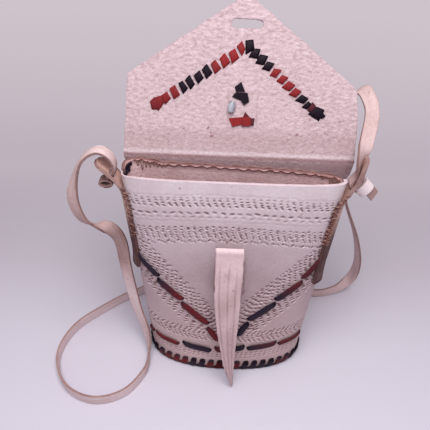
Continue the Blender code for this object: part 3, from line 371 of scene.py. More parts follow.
def rows_of_marks():
    """The stamped rows, as the maker struck them across the front, in millimetres."""
    chance = np.random.default_rng(7)
    marks = []

    def strike(x, y, angle, length, width, force):
        """One stroke, a little off in place, depth, turn and length, as by hand."""
        x += chance.normal(0.0, 0.28)
        y += chance.normal(0.0, 0.28)
        force *= chance.uniform(0.7, 1.15)
        angle += chance.normal(0.0, 10.0)
        marks.append((x, y, angle, length * chance.uniform(0.85, 1.2), width, force))

    def row(reach, pitch, height, sag, strokes):
        """A group of strokes, repeated from side to side; each is moved by its own x and z."""
        for x in np.arange(-reach, reach + 1.0, pitch):
            for dx, dz, *stroke in strokes:
                strike(x + dx, height - sag * x * x + dz, *stroke)

    def at(line, share):
        """The point at a share of a line's corners."""
        places = np.linspace(0.0, 1.0, len(line))
        return np.array([np.interp(share, places, [point[axis] for point in line]) for axis in (0, 1)])

    def band(lace, border, count, shares, angle, turn, bow, length, force):
        """Stacks of short strokes from a lace to the border of its band, each stack bowed like a bracket."""
        way = at(lace, 1.0) - at(lace, 0.0)
        way /= np.linalg.norm(way)
        for k in range(count):
            low = at(lace, k / (count - 1))
            high = at(border, k / (count - 1))
            for share in shares:
                x, y = low + (high - low) * share + way * bow * share * (1.0 - share)
                strike(x, y, angle + turn * (share - 0.5), length, 1.8, force)

    # Two lines drawn lightly with a blunt point, threes of strokes over a slanting one, two
    # rows of dashes, bowed stacks of five with fainter strokes between, and a wavy edging.
    row(93.0, 7.0, 214.0, 0.0005, ((0, 0, 0, 11, 1.1, 0.22), (0, -26, 0, 9, 1.3, 0.15)))
    row(94.0, 5.6, 210.8, 0.00045, ((0, 0, -6, 2.9, 1.5, 0.6), (0.25, -2.5, -6, 2.9, 1.5, 0.9),
                                    (1, -5, -6, 2.9, 1.5, 1.05), (2.2, -7.3, -30, 3.2, 1.6, 1.1)))
    row(95.0, 7.3, 196.2, 0.0005, ((0, 0, -3, 4.8, 2, 0.85), (3, -4.2, 0, 4, 1.5, 0.55)))
    row(94.0, 5.6, 182.0, 0.0008, [
        (dx + 0.15 * step * step, dz - 2.55 * step, -6.0 - 8.0 * step, *size)
        for step in range(5) for dx, dz, *size in ((0, 0, 2.9, 1.5, 1), (2.8, -1.3, 1.9, 1.3, 0.5))])
    row(93.0, 9.3, 168.6, 0.0011, ((0, 0, 35, 3.2, 1.7, 0.9), (3, -0.75, -15, 3.2, 1.7, 0.6),
                                   (5.6, -1.4, -40, 3.2, 1.7, 0.6)))
    for k in range(15):   # edgings and bands of the V, which end at the arcs round the foot
        strike(*at(LEFT_BORDER, k / 14.0), -18.0, 4.2, 1.6, 0.8)
        for step in (-1.6, 1.6):
            x, y = at(RIGHT_BORDER, k / 14.0)
            strike(x + step, y + step, -25.0, 2.8, 1.5, 0.8)
    band(LEFT_VEE, LEFT_BORDER, 20, BAND_SHARES, -15.0, 40.0, 9.0, 3.0, 1.15)
    band(RIGHT_VEE, RIGHT_BORDER, 18, BAND_SHARES, -10.0, 50.0, 9.0, 3.0, 1.15)
    for sign, lace in ((-1.0, LEFT_VEE), (1.0, RIGHT_VEE)):
        lower = [(x + sign * 9.0, z - 18.0) for x, z in lace]
        band(lace, lower, 19, (0.3, 0.44, 0.58, 0.72, 0.86), sign * 12.0, 60.0, -9.0, 4.2, 1.3)
    marks = [mark for mark in marks if mark[1] > 57.0 + FOOT_ARC * mark[0] ** 2]
    arcs = [(0.5 * (step - 2.5) ** 2, 2.6 * step, 16.0 * (step - 2.5), 3.0, 1.6, 1.0) for step in range(6)]
    below_hoop = [(0.5 * step, 3.4 * step - 24.5, 25.0, 3.0, 1.5, 0.75) for step in range(3)]
    row(88.0, 5.0, 42.5, -FOOT_ARC, arcs + below_hoop)
    return marks


def double_sheet(left, right, low, high, step, inside_step, marks):
    """A sheet with a finely pressed face, a plain back and its cut edge, still flat, its depths in z.

    The back is pared thin towards the left top corner.
    """
    bm = cut_sheet(left, right, low, high, step)
    mark = bm.verts.layers.float.new("mark")
    face_side = set(bm.verts)
    for vertex, depth, heave in zip(bm.verts, *press(bm, marks)):
        z = vertex.co.y / MM
        # Painted shade: the front darkens below its top band; each stamp's heave is also painted paler, as a
        # highlight.
        painted_lower_shade = float(np.interp(z, (30.0, 110.0, 160.0, 205.0, 213.0), (0.22, 0.26, 0.2, 0.1, 0.0)))
        vertex[mark] = painted_lower_shade + (1.0 - painted_lower_shade) * 0.95 * min(1.0, depth) - (0.45 + painted_lower_shade) * heave
        vertex.co.z = STAMP_HEAVE * heave - STAMP_DEPTH * depth
    cut_sheet(left, right, low, high, inside_step, bm)
    for vertex in bm.verts:
        if vertex not in face_side:
            beside = max(0.0, 1.0 - (vertex.co.x - left) / (20.0 * MM))
            below = max(0.0, 1.0 - (high - vertex.co.y) / (24.0 * MM))
            vertex.co.z = -LEATHER * (1.0 - 0.6 * min(1.0, 2.0 * beside * below))
    inside = [face for face in bm.faces if face.verts[0] not in face_side]
    bmesh.ops.reverse_faces(bm, faces=inside)
    rim = bmesh.ops.bridge_loops(bm, edges=[edge for edge in bm.edges if edge.is_boundary])["faces"]
    bmesh.ops.recalc_face_normals(bm, faces=bm.faces)
    for face in inside:
        face.material_index = 1
    for face in rim:
        face.material_index = 2
    set_map(bm)
    return bm


bm = double_sheet(-GIRTH / 4.0 + SEAM_GAP, GIRTH / 4.0 - SEAM_GAP, FOOT, HEIGHT, GRAIN_STEP, INSIDE_STEP,
                  rows_of_marks())
for vertex in bm.verts:
    vertex.co = wrap(*vertex.co)
UNDYED = (shade(220, 204, 210), shade(206, 187, 193), shade(104, 66, 68))
# Painted shade by height: the front is tinted darkest at mid height and clear at the top.
FRONT_LEATHER = leather("front_leather", *UNDYED, 0.0, True, (
    (0.02, (0.98, 0.86, 0.81)), (0.06, (0.95, 0.86, 0.84)), (0.125, (0.84, 0.76, 0.77)), (0.165, (0.94, 0.91, 0.92)),
    (0.205, (1.0, 1.0, 1.0))))
ROUGH_SIDE = leather("rough_side", shade(203, 179, 185), shade(180, 154, 159), shade(122, 76, 76), 1.0, True)
CUT_EDGE = leather("cut_edge", shade(212, 192, 198), shade(192, 168, 174), shade(120, 84, 84), 0.4)
front = make_piece("front_leather", bm, (FRONT_LEATHER, ROUGH_SIDE, CUT_EDGE))
front.data.set_sharp_from_angle(angle=SHARP)
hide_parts("front_panel")
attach(front, "bag")


# Back of the bag. The same leather, plain, with its rough side inwards. It meets the front
# edge to edge under the side tabs. Its top is cut by hand, and painted shade darkens its top band.

BACK_EDGE_TILT = 3.5 * MM
BACK_STEP = 2.0 * MM
SMOOTH_SIDE = leather("smooth_side", *UNDYED, use_map=True)
# Painted light: the inside is a lighter copy of the rough side, lifted against the shade inside the bag.
LIGHTENED_INNER_SIDE = leather("lightened_inner_side", shade(250, 218, 220), shade(216, 174, 176), shade(130, 80, 78), 0.7, True)
# Painted shade: the back's cut edge is a darker copy, painted with the shade where it meets the flap's margin.
SHADED_RIM_LEATHER = leather("shaded_rim_leather", shade(166, 132, 132), shade(144, 108, 108), shade(104, 62, 60), 0.5)


def back_top(s):
    """Height of the back's cut edge; its left corner curls up a little."""
    far = (GIRTH * 0.75 - s) / MM
    curl = float(np.interp(far, (0.0, 8.0, 14.0, 22.0, 40.0), (-1.5, 3.3, 4.6, 4.4, 0.0)))
    return HEIGHT - BACK_EDGE_TILT * (GIRTH / 2.0 - s) / (GIRTH / 4.0) + curl * MM


bm = cut_sheet(GIRTH / 4.0 + SEAM_GAP, GIRTH * 0.75 - SEAM_GAP, FOOT, HEIGHT, BACK_STEP)
set_map(bm)
mark = bm.verts.layers.float.new("mark")
for vertex in bm.verts:
    s, z, _ = vertex.co
    # Painted shade darkens the top band of the back, inside and out, where the lamp would light it.
    vertex[mark] = 0.55 * min(1.0, max(0.0, (z - HEIGHT + 6.0 * MM) / (4.0 * MM)))
    top = back_top(s)
    z = FOOT + (z - FOOT) * (top - FOOT) / (HEIGHT - FOOT)
    vertex.co = wrap(s, z, 0.0)
back = make_piece("back_leather", bm, (SMOOTH_SIDE, LIGHTENED_INNER_SIDE, SHADED_RIM_LEATHER), LEATHER)
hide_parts("back_panel")
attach(back, "bag")


# Laces of the front and the base. Flat strips of leather, dyed black and brick red in
# turns along their length, drawn through hand punched slits.

LACE = 1.0 * MM


def dyed_leather(name):
    """Laces take their dye from the mesh, as the attribute dye: 0 black, 1 brick red, lowered also for painted
    shade.
    """
    material, tree, shader = new_material(name, 0.5, 0.09)
    place = add_node(tree, "TexCoord").outputs["UV"]
    dye = add_node(tree, "Attribute", attribute_name="dye").outputs["Fac"]
    uneven = add_node(tree, "TexNoise", Vector=place, Scale=260.0, Detail=3.0).outputs["Fac"]
    shifted = add_node(tree, "Math", operation="MULTIPLY_ADD", _0=uneven, _1=0.3, _2=dye).outputs[0]
    colour = ramp(tree, shifted, (0.05, shade(24, 12, 24)), (0.25, shade(44, 34, 48)), (0.65, shade(84, 32, 38)),
                  (1.1, shade(132, 34, 36)))
    pores = add_node(tree, "TexNoise", Vector=place, Scale=700.0, Detail=3.0).outputs["Fac"]
    cover(tree, shader, colour, pores, 0.3, 0.0004)
    return material


DYED = dyed_leather("dyed_strip")


def lay_strip(line, sides, widths, across=4, crown=0.0, dyes_and_shade=None, place=None):
    """A flat strip laid along a line; sides are its width directions and crown its bulge in the middle."""
    count = len(line)
    line = [Vector(point) for point in line]
    bm = bmesh.new()
    bmesh.ops.create_grid(bm, x_segments=count - 1, y_segments=across, size=0.5)
    along = [0.0]
    for a, b in zip(line, line[1:]):
        along.append(along[-1] + (b - a).length)
    sides = [Vector(side).normalized() for side in sides]
    normals = []
    for i in range(count):
        way = line[min(i + 1, count - 1)] - line[max(i - 1, 0)]
        normals.append(way.cross(sides[i]).normalized())
    layer = bm.loops.layers.uv.new("leather")
    dye = bm.verts.layers.float.new("dye")
    for face in bm.faces:
        face.smooth = True
        for loop in face.loops:
            i = round((loop.vert.co.x + 0.5) * (count - 1))
            loop[layer].uv = (along[i], loop.vert.co.y * widths[i])
    for vertex in bm.verts:
        i = round((vertex.co.x + 0.5) * (count - 1))
        q = vertex.co.y * 2.0
        if dyes_and_shade:
            vertex[dye] = dyes_and_shade[i]
        spot = line[i] + sides[i] * (q * widths[i] / 2.0) + normals[i] * (crown * (1.0 - q * q))
        vertex.co = place(*spot) if place else spot
    return bm


# From a slit to the middle of a dash: share of its length, height in millimetres, share of its width.
DASH_RISE = ((0, -3.9, 0.4), (0, -0.6, 0.45), (0.015, 0.5, 0.62), (0.04, 1, 0.8), (0.09, 1.35, 0.94), (0.16, 1.5, 1),
             (0.3, 1.55, 1), (0.43, 1.6, 1))
DASH_PROFILE = DASH_RISE + tuple((1.0 - t, w, share) for t, w, share in reversed(DASH_RISE))


def run_lace(name, replaced, slit, dashes):
    """A lace that shows as dashes and runs inside in between, through slits that lie along slit.

    Each dash has its two ends (s, z), the dye and the width at each end, in millimetres.
    """
    line = []
    sides = []
    widths = []
    dyes_and_shade = []
    slit = Vector(slit).normalized()
    for (s0, z0), (s1, z1), dye0, dye1, width0, width1 in dashes:
        start = Vector((s0, z0))
        end = Vector((s1, z1))
        way = (end - start).normalized()
        length = (end - start).length
        hook = slit if slit.dot(way) > 0.0 else -slit
        for t, w, share in DASH_PROFILE:
            bend = 1.3 * (max(0.0, t - 0.8) - max(0.0, 0.2 - t)) / 0.2
            spot = start.lerp(end, t) + (hook - way * hook.dot(way)) * bend * min(1.0, length / 20.0)
            line.append((spot.x * MM, spot.y * MM, w * MM))
            sides.append((-way.y, way.x, 0.0))
            belly = 1.1 + 0.12 * math.sin(math.pi * t)
            widths.append((width0 + (width1 - width0) * t) * share * belly * MM)
            # Painted shade: the lace is dyed darker where it dives into its slits.
            dyes_and_shade.append(dye0 + (dye1 - dye0) * t - (0.25 if w < 1.2 else 0.0))
    item = make_piece(name, lay_strip(line, sides, widths, 8, 0.7 * MM, dyes_and_shade, wrap), (DYED,), LACE, 0.0)
    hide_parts(replaced)
    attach(item, "bag")


run_lace("left_vee_lace", "front_lace_left", (1, -0.3), (
    ((-88.9, 145.2), (-66.8, 121.8), 0.1, 0.1, 3.6, 5.4), ((-67.2, 118.4), (-43.9, 96.2), 0.1, 0.7, 5, 5.8),
    ((-44.1, 92.2), (-18.2, 66.4), 0.55, 0.6, 5.6, 5.6), ((-17.3, 61.1), (-7.7, 43.4), 0.6, 0.6, 5.2, 4.6)))
run_lace("right_vee_lace", "front_lace_right", (1, 0.3), (
    ((11.5, 51.8), (20.4, 70.2), 0.05, 0.05, 5, 5.4), ((21.5, 74.3), (45.8, 96.9), 0.1, 0.1, 5.6, 5.4),
    ((46.1, 100.8), (69.2, 122.2), 0, 0.6, 5.6, 5.2), ((69.7, 126), (84.9, 147.4), 0.45, 0.45, 5.2, 4.4)))
run_lace("hoop_strip", "hoop_lace", (0, 1), (
    ((-85.6, 36.3), (-79.2, 36.3), 0.5, 0.5, 3.4, 3.8), ((-75.9, 35.8), (-49, 33.1), 0.55, 0.6, 3.8, 5.2),
    ((-44.5, 34.5), (-14.7, 29.3), 0.1, 0.1, 5.6, 5.8), ((-10.5, 31.2), (4, 31), 0.5, 0.5, 5.2, 5.2),
    ((8, 32), (19.6, 35.9), 0.05, 0.05, 5.4, 5.4), ((22.9, 34.4), (53.3, 38.8), 0.1, 0.45, 5.6, 5.2),
    ((55.6, 38.1), (82.3, 41), 0.5, 0.5, 5, 4)))


# Lacing of the base. One long lace is whipped round the edge, up through the wall and
# down through the plate, and its stitches spread and touch along the bottom edge.

WHIPS = 44
PITCH = GIRTH / WHIPS
WHIP_DYES = (0, 0, 0.45, 0.6, 0.62, 0.6, 0.05, 0.05, 0.55, 0.6, 0.6, 0.55, 0, 0, 0.05, 0, 0.45, 0.45)
WHIP = (   # way back from its slit, height, distance from the wall and width, in millimetres
    (0, 12.4, -4, 3), (0, 12.6, -0.4, 3.4), (0.05, 12.4, 0.6, 4.9), (0.2, 11.7, 1.3, 5.9),
    (0.5, 10.4, 1.7, 6), (1, 8.4, 1.8, 6), (1.4, 6.6, 1.7, 6.2), (1.8, 5, 1.4, 7.4),
    (2.1, 3.8, 1.1, 9.2), (2.4, 2.6, 0.8, 9.8), (2.7, 1.2, 0.2, 9.8),
    (3.3, 0.75, -2, 6.8), (PITCH / MM / 2, 0.75, -6.4, 5.2), (PITCH / MM / 2, 4.1, -6.4, 5.2),
)

line = []
widths = []
dyes_and_shade = []
for k in range(WHIPS + 1):
    s = -(k + 0.5) * PITCH
    here = (9 - k) % WHIPS   # counted from the front left, where the dyes are seen
    colour = WHIP_DYES[here] if here < len(WHIP_DYES) else (0.9 if (here // 3) % 2 else 0.0)
    for shift, z, w, width in WHIP:
        line.append((s - shift * MM, z * MM, w * MM))
        widths.append(width * MM)
        # Painted shade: the stitches are dyed darker at their tops, by the holes, and along the bottom edge.
        dyes_and_shade.append(colour - (0.4 if z > 11.5 or z < 3.0 else 0.0))
bm = lay_strip(line, [(1.0, 0.0, 0.0)] * len(line), widths, 6, 0.4 * MM, dyes_and_shade, wrap)
whips = make_piece("base_whipping", bm, (DYED,), LACE, 0.0)
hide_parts("base_lace")
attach(whips, "bag")


# Flap and its sewn margin. One stiff sheet with its rough side to the front, folded along
# the back edge of the mouth and cut by hand to a blunt point with a slot for the tongue.

FLAP_STEP = 1.1 * MM
FLAP_LEAN = math.radians(27.0)
FOLD = Vector((0.0, 0.01264, 0.2329))
MARGIN_LEAN = math.atan(((BASE_DEPTH - RIM_DEPTH) / 2.0 - RIM_SHIFT) / HEIGHT)
FLAP_OUTLINE = (   # millimetres, across and up from the fold
    (-84, -36), (94, -36), (101.4, -12), (102.2, 0), (101.8, 35), (99.3, 58), (96.5, 61.5),
    (91.3, 65.5), (66.5, 87), (31.8, 116.4), (21.7, 124), (14, 128.4), (6, 130.5), (-1, 129.4),
    (-9, 125.2), (-81.7, 73.4), (-92.5, 66.2), (-96.8, 61), (-98.5, 50), (-98.4, 40), (-97.8, 27.7),
    (-95.2, 0), (-95.6, -8),
)
SLOT = (6, 108.2, 26, 7)   # its middle, width and height
FLAP_SPECKS = ((-19.9, 17.7, 1.3), (-23.3, 24.3, 1.1), (-20.6, 20.2, 0.7), (52, 21, 0.9))
FLAP_PATCH = (-7, 17.2, 25.2, 53.8)   # a square pressed into the leather, seen as a faint outline


def fold_profile():
    """Middle line of the sheet from the margin's foot to the flap's point: u, y, z and lean."""
    us = np.linspace(-40.0, 135.0, 701) * MM
    t = np.clip((us + 4.0 * MM) / (8.0 * MM), 0.0, 1.0)
    lean = -MARGIN_LEAN + (FLAP_LEAN + MARGIN_LEAN) * t * t * (3.0 - 2.0 * t)
    step = us[1] - us[0]
    y = np.cumsum(np.sin(lean)) * step
    z = np.cumsum(np.cos(lean)) * step
    i = int(np.searchsorted(us, 10.0 * MM))
    y += FOLD.y + us[i] * math.sin(FLAP_LEAN) - y[i]
    z += FOLD.z + us[i] * math.cos(FLAP_LEAN) - z[i]
    return us, y, z, lean


FOLD_PROFILE = fold_profile()


def on_flap(x, u, n):
    """From flat flap leather, n towards the rough side, to its place over the fold."""
    us, ys, zs, leans = FOLD_PROFILE
    lean = float(np.interp(u, us, leans))
    y = float(np.interp(u, us, ys)) - n * math.cos(lean)
    z = float(np.interp(u, us, zs)) + n * math.sin(lean)
    return Vector((x, y, z))


def trim(bm, outline, kept=()):
    """Cuts a flat sheet to an anticlockwise outline in millimetres without inward corners."""
    for a, b in zip(outline, outline[1:] + outline[:1]):
        verts = [vertex for vertex in bm.verts if vertex not in kept]
        edges = [edge for edge in bm.edges if edge.verts[0] not in kept]
        faces = [face for face in bm.faces if face.verts[0] not in kept]
        bmesh.ops.bisect_plane(bm, geom=verts + edges + faces, plane_co=(a[0] * MM, a[1] * MM, 0.0),
                               plane_no=(b[1] - a[1], a[0] - b[0], 0.0), clear_outer=True)


def cut_out(bm, inside):
    """Cuts away the faces whose middle lies inside a hole."""
    doomed = [face for face in bm.faces if inside(*face.calc_center_median().xy)]
    bmesh.ops.delete(bm, geom=doomed, context="FACES")


bm = cut_sheet(-100.0 * MM, 103.0 * MM, -37.0 * MM, 131.5 * MM, FLAP_STEP)
trim(bm, FLAP_OUTLINE)
slot_x, slot_u, slot_width, slot_height = (value * MM for value in SLOT)
slot_radius = slot_height / 2.0


def slot_middle(x):
    """Nearest point of the slot's middle line."""
    reach = slot_width / 2.0 - slot_radius
    return Vector((min(max(x, slot_x - reach), slot_x + reach), slot_u, 0.0))


cut_out(bm, lambda x, u: (Vector((x, u, 0.0)) - slot_middle(x)).length < slot_radius)
for vertex in bm.verts:
    middle = slot_middle(vertex.co.x)
    out = vertex.co - middle
    if vertex.is_boundary and out.length < slot_radius * 2.0:
        vertex.co = middle + out.normalized() * slot_radius
bmesh.ops.remove_doubles(bm, verts=bm.verts, dist=0.4 * MM)
for vertex in bm.verts:   # the hand's cut wavers a little
    spot = vertex.co * 140.0
    wave = Vector((noise.noise(spot + Vector((0.0, 0.0, 7.3))), noise.noise(spot), 0.0))
    vertex.co += wave * 0.5 * MM * min(1.0, max(0.0, vertex.co.y / (6.0 * MM)))
set_map(bm)
mark = bm.verts.layers.float.new("mark")
x0, x1, u0, u1 = FLAP_PATCH
for vertex in bm.verts:
    x, u, _ = vertex.co
    relief = noise.noise(Vector((x * 230.0, u * 480.0, 0.0)))
    relief += 0.6 * noise.noise(Vector((x * 560.0, u * 820.0, 3.0)))
    far = x / MM
    up = u / MM
    calm = min(1.0, math.hypot(far - 2.0, 1.4 * (up - 34.0)) / 60.0)   # the middle is rubbed smooth
    soft = min(1.0, max(0.0, (up - 2.0) / 4.0))
    soft *= (0.35 + 0.65 * min(1.0, max(0.0, (up - 12.0) / 10.0))) * (0.45 + 0.55 * calm)
    edge = 0.2 if vertex.is_boundary and u > 0.0 else 0.0
    edge += 0.28 * max(0.0, 1.0 - abs(min(far - x0, x1 - far, up - u0, u1 - up)) / 1.2)
    # Painted shade along the margin, in the fold and over the bend above it, with a painted highlight on the ridge
    # of the fold.
    painted_fold_light = float(np.interp(up, (-40.0, -7.0, -1.2, 0.0, 1.1, 2.4, 4.4, 6.0, 17.0, 26.0),
                             (0.26, 0.3, 0.26, 0.7, 0.6, -0.3, -0.1, 0.16, 0.22, 0.0)))
    # Painted shade in the hollows of the relief and a painted highlight on its tops.
    vertex[mark] = (0.38 * max(0.0, -relief) - 0.2 * max(0.0, relief)) * soft + edge + painted_fold_light
    if any(math.hypot(far - speck_x, up - speck_u) < size for speck_x, speck_u, size in FLAP_SPECKS):
        vertex[mark] = 0.8
    vertex.co = on_flap(x, u, LEATHER / 2.0 + 0.36 * MM * relief * soft)
flap = make_piece("flap_leather", bm, (ROUGH_SIDE, SMOOTH_SIDE, CUT_EDGE), LEATHER, -1.0, 0.5 * MM)
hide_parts("flap", "flap_margin")
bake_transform(flap)


# Lacing of the flap. Two dyed laces make a peak of short bars, and two short ends and a
# bead of cloudy glass are tied on under it.

FLAP_LACE_SHADE = 0.16   # painted shade: the flap's laces are dyed darker, against the stronger light on the flap


def lace_bars(name, replaced, bars):
    """Flat bars across the rough side, joined behind it, each from one slit to the next.

    A bar has its dye and the ends (x, u) of its upper and of its lower slit.
    """
    line = []
    sides = []
    widths = []
    dyes_and_shade = []
    for dye, *ends in bars:
        upper_left, upper_right, lower_left, lower_right = (Vector(end) for end in ends)
        for t, n in ((0.0, -2.2), (0.0, 1.2), (0.05, 2.0), (0.2, 2.25), (0.5, 2.35), (0.8, 2.25), (0.95, 2.0),
                     (1.0, 1.2), (1.0, -2.2)):
            left = upper_left.lerp(lower_left, t)
            side = upper_right.lerp(lower_right, t) - left
            middle = (left + side / 2.0) * MM
            line.append((middle.x, middle.y, n * MM))
            sides.append((side.x, side.y, 0.0))
            widths.append(side.length * (0.8 if n < 0.0 else 1.13) * MM)
            # Painted shade for the stronger light on the flap.
            dyes_and_shade.append(dye - FLAP_LACE_SHADE)
    item = make_piece(name, lay_strip(line, sides, widths, 4, 0.12 * MM, dyes_and_shade, on_flap), (DYED,), LACE, 0.0)
    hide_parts(replaced)
    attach(item, "lid")


lace_bars("left_peak_lace", "flap_lace_left", (
    (0.8, (-72.2, 44.4), (-68.8, 47.6), (-70.6, 38.2), (-65, 38.6)),
    (0.85, (-69, 47.2), (-63.2, 49.2), (-65.6, 37.4), (-61.4, 43.4)),
    (0.9, (-63, 49.3), (-58.6, 52.3), (-59.7, 42.9), (-55.6, 47.6)),
    (0.9, (-56, 55.2), (-52, 57.9), (-52.4, 47.1), (-48, 50.7)),
    (0, (-48.8, 59.7), (-45.6, 61.5), (-44.8, 51.7), (-41.4, 56.3)),
    (0, (-43.3, 62.7), (-39.9, 66.4), (-38.8, 55.5), (-35.7, 59.6)),
    (0, (-36.1, 66.3), (-31.9, 70.3), (-32.5, 60.2), (-28.6, 64.9)),
    (0, (-29.6, 71.5), (-26, 75.5), (-25.7, 64.4), (-21.4, 69)),
    (0.9, (-22.3, 75.9), (-19.2, 79), (-18.8, 68.6), (-14.3, 72.8)),
    (1, (-15.2, 80.5), (-11.6, 84.5), (-12, 73.3), (-7.1, 78)),
    (1, (-7.9, 85.4), (-3.5, 88.3), (-5.1, 77.3), (0, 81.6)),
    (0.95, (-1.6, 90.5), (2.2, 94.1), (2.5, 83.6), (4.6, 88.5))))
lace_bars("right_peak_lace", "flap_lace_right", (
    (0, (5.3, 94.9), (10.9, 95.8), (5.9, 84.8), (12, 89)),
    (0, (11.6, 88.5), (17.1, 88.7), (8.5, 82.6), (15.2, 81.7)),
    (0, (17.5, 84.5), (23.7, 83.5), (14.2, 77.9), (20.8, 76.9)),
    (0, (23.9, 79.1), (29.2, 77.9), (19.8, 73.8), (25.3, 72.1)),
    (0.95, (29.5, 73.8), (35.2, 72.9), (26.5, 68.5), (31.1, 67.3)),
    (0.95, (36.4, 68.9), (41.2, 67.2), (32.4, 64.4), (36.8, 62.3)),
    (0.95, (41.9, 64.1), (47.3, 61.5), (37, 59.5), (42.8, 57)),
    (0.95, (47.9, 59), (52.8, 56.6), (43, 54), (48.4, 52.2)),
    (0, (53.7, 53.9), (58.9, 51.1), (48.8, 49.4), (55.4, 47.3)),
    (0, (59.3, 48.8), (61.6, 47), (54.7, 44.4), (58.6, 42.7)),
    (0.55, (63, 48.2), (66.2, 44.4), (59.2, 41.9), (61.6, 40.4)),
    (0, (67, 44.3), (72.8, 42.4), (60.6, 38.6), (68.9, 33.7)),
    (0, (71.4, 40.4), (74.2, 37.2), (68.4, 39), (71.4, 35.6))))


def scraps_of_lace(name, replaced, scraps):
    """Short ends of lace tied through the flap, each with a height, a dye and an outline."""
    bm = bmesh.new()
    dye = bm.verts.layers.float.new("dye")
    for height, tint, outline in scraps:
        kept = set(bm.verts)
        xs, us = zip(*outline)
        cut_sheet(min(xs) * MM, max(xs) * MM, min(us) * MM, max(us) * MM, 1.0 * MM, bm)
        trim(bm, outline, kept)
        for vertex in set(bm.verts) - kept:
            # Painted shade for the stronger light on the flap.
            vertex[dye] = tint - FLAP_LACE_SHADE
            vertex.co.z = height * MM + LEATHER / 2.0
    set_map(bm)
    for vertex in bm.verts:
        vertex.co = on_flap(*vertex.co)
    item = make_piece(name, bm, (DYED,), LACE, 0.0, 0.25 * MM)
    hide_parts(replaced)
    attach(item, "lid")


scraps_of_lace("black_knot", "flap_lace_black", (
    (0.7, 0.05, ((3.1, 62.7), (-2.2, 58.5), (-0.8, 54.8), (6.5, 55))),
    (0.6, 0, ((-1.1, 54.3), (-4, 50.8), (-0.4, 49), (3.2, 47.9), (3.8, 54.2))),
    (1.2, 0, ((0.6, 54.2), (2.2, 49.1), (6.1, 44.1), (10.4, 47.2), (8.6, 54.1)))))
scraps_of_lace("red_knot", "flap_lace_red", (
    (0.5, 0.7, ((7.5, 38.4), (4.9, 33), (12.3, 33.6))),
    (0.7, 1, ((-6.1, 32.9), (-2.9, 26.1), (5.1, 28), (4.8, 34.3))),
    (1.3, 0.95, ((4.8, 34.3), (5.1, 26.9), (12.2, 27.2), (12.4, 34.2))),
    (0.7, 0.6, ((12, 33.6), (11.8, 27.6), (15.1, 27.5), (15.4, 33.7)))))


def cloudy_glass():
    material, tree, shader = new_material("cloudy_glass", 0.18, 0.5)
    place = add_node(tree, "TexCoord").outputs["Object"]
    cloud = add_node(tree, "TexNoise", Vector=place, Scale=260.0, Detail=3.0).outputs["Fac"]
    colour = ramp(tree, cloud, (0.35, shade(150, 146, 158)), (0.65, shade(206, 206, 214)))
    shader.inputs["Transmission Weight"].default_value = 0.35
    pits = add_node(tree, "TexNoise", Vector=place, Scale=900.0, Detail=2.0).outputs["Fac"]
    cover(tree, shader, colour, pits, 0.15, 0.0003)
    return material


BEAD_LEAN = math.radians(-9.0)
BEAD_PLACE = Vector((-4.1 * MM, 42.4 * MM, LEATHER / 2.0 + 2.5 * MM))   # across, up and off the flap
BEAD_PROFILE = ((0.8, -4.7), (1.9, -5), (2.8, -3.5), (3.3, -1.2), (3.3, 1.2), (2.8, 3.5), (1.9, 5), (0.8, 4.7))
bm = bmesh.new()
ring = [bm.verts.new((radius * MM, along * MM, 0.0)) for radius, along in BEAD_PROFILE]
edges = [bm.edges.new(pair) for pair in zip(ring, ring[1:] + ring[:1])]
bmesh.ops.spin(bm, geom=ring + edges, axis=(0.0, 1.0, 0.0), cent=(0.0, 0.0, 0.0), angle=math.tau, steps=16,
               use_merge=True)
bmesh.ops.recalc_face_normals(bm, faces=bm.faces)
for face in bm.faces:
    face.smooth = True
for vertex in bm.verts:   # flattened a little and turned
    flattened = Vector((vertex.co.x, vertex.co.y, 0.7 * vertex.co.z))
    vertex.co = on_flap(*(BEAD_PLACE + Matrix.Rotation(BEAD_LEAN, 3, "Z") @ flattened))
bead = make_piece("glass_bead", bm, (cloudy_glass(),))
rounding = bead.modifiers.new("rounding", "SUBSURF")
rounding.levels = rounding.render_levels = 2
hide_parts("flap_bead")
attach(bead, "lid")


# Closing tongue. One strip of leather comes out of a slit in the front, where its root
# holds it, is doubled over and hangs down, tapering to a point. It is creased lengthways.

TONGUE = 2.5 * MM
TONGUE_LINE = (   # x, y, z, width, in millimetres
    (0.8, -23.4, 88, 29), (0.8, -25, 100, 29), (0.8, -26.6, 109.5, 29), (0.8, -29, 111.6, 29),
    (0.8, -31.5, 113.8, 29), (0.6, -31.8, 122, 28.4), (0.4, -31.6, 138, 27.4), (0.2, -31.3, 152, 26.2),
    (0, -30.9, 161, 25.2), (-0.2, -31.4, 165.8, 25), (-0.2, -33, 167.2, 24.9), (-0.2, -34.6, 165.8, 25),
    (-0.2, -35.2, 160, 25.1), (-0.1, -37.5, 150, 25.1), (-0.5, -42.5, 130, 24.4), (-0.3, -47.5, 111, 23.3),
    (0.4, -52, 91, 20.9), (1.4, -55.8, 70, 17), (3, -59, 46, 12.3), (5.4, -61.7, 22, 6.9),
    (8, -63.3, 3.4, 1.3),
)
TONGUE_CREASES = (-0.66, 0, 0.58)   # shares of the half width


def distances(points):
    """How far along a line each of its points lies."""
    return np.concatenate([[0.0], np.cumsum(np.linalg.norm(np.diff(points, axis=0), axis=1))])


def smooth_line(points, step, dims=3):
    """Even steps along a smooth line through a few points; numbers after the first dims go with them."""
    points = np.array(points, float)
    ends = np.vstack([2.0 * points[0] - points[1], points, 2.0 * points[-1] - points[-2]])
    t = np.linspace(0.0, 1.0, 24, endpoint=False)[:, None]
    bits = []
    for i in range(1, len(ends) - 2):
        p0, p1, p2, p3 = ends[i - 1:i + 3]
        bits.append(0.5 * (2 * p1 + (p2 - p0) * t + (2 * p0 - 5 * p1 + 4 * p2 - p3) * t * t
                           + (3 * p1 - p0 - 3 * p2 + p3) * t ** 3))
    fine = np.vstack(bits + [points[-1:]])
    length = distances(fine[:, :dims])
    places = np.linspace(0.0, length[-1], max(2, round(length[-1] / step) + 1))
    return np.stack([np.interp(places, length, column) for column in fine.T], axis=1)


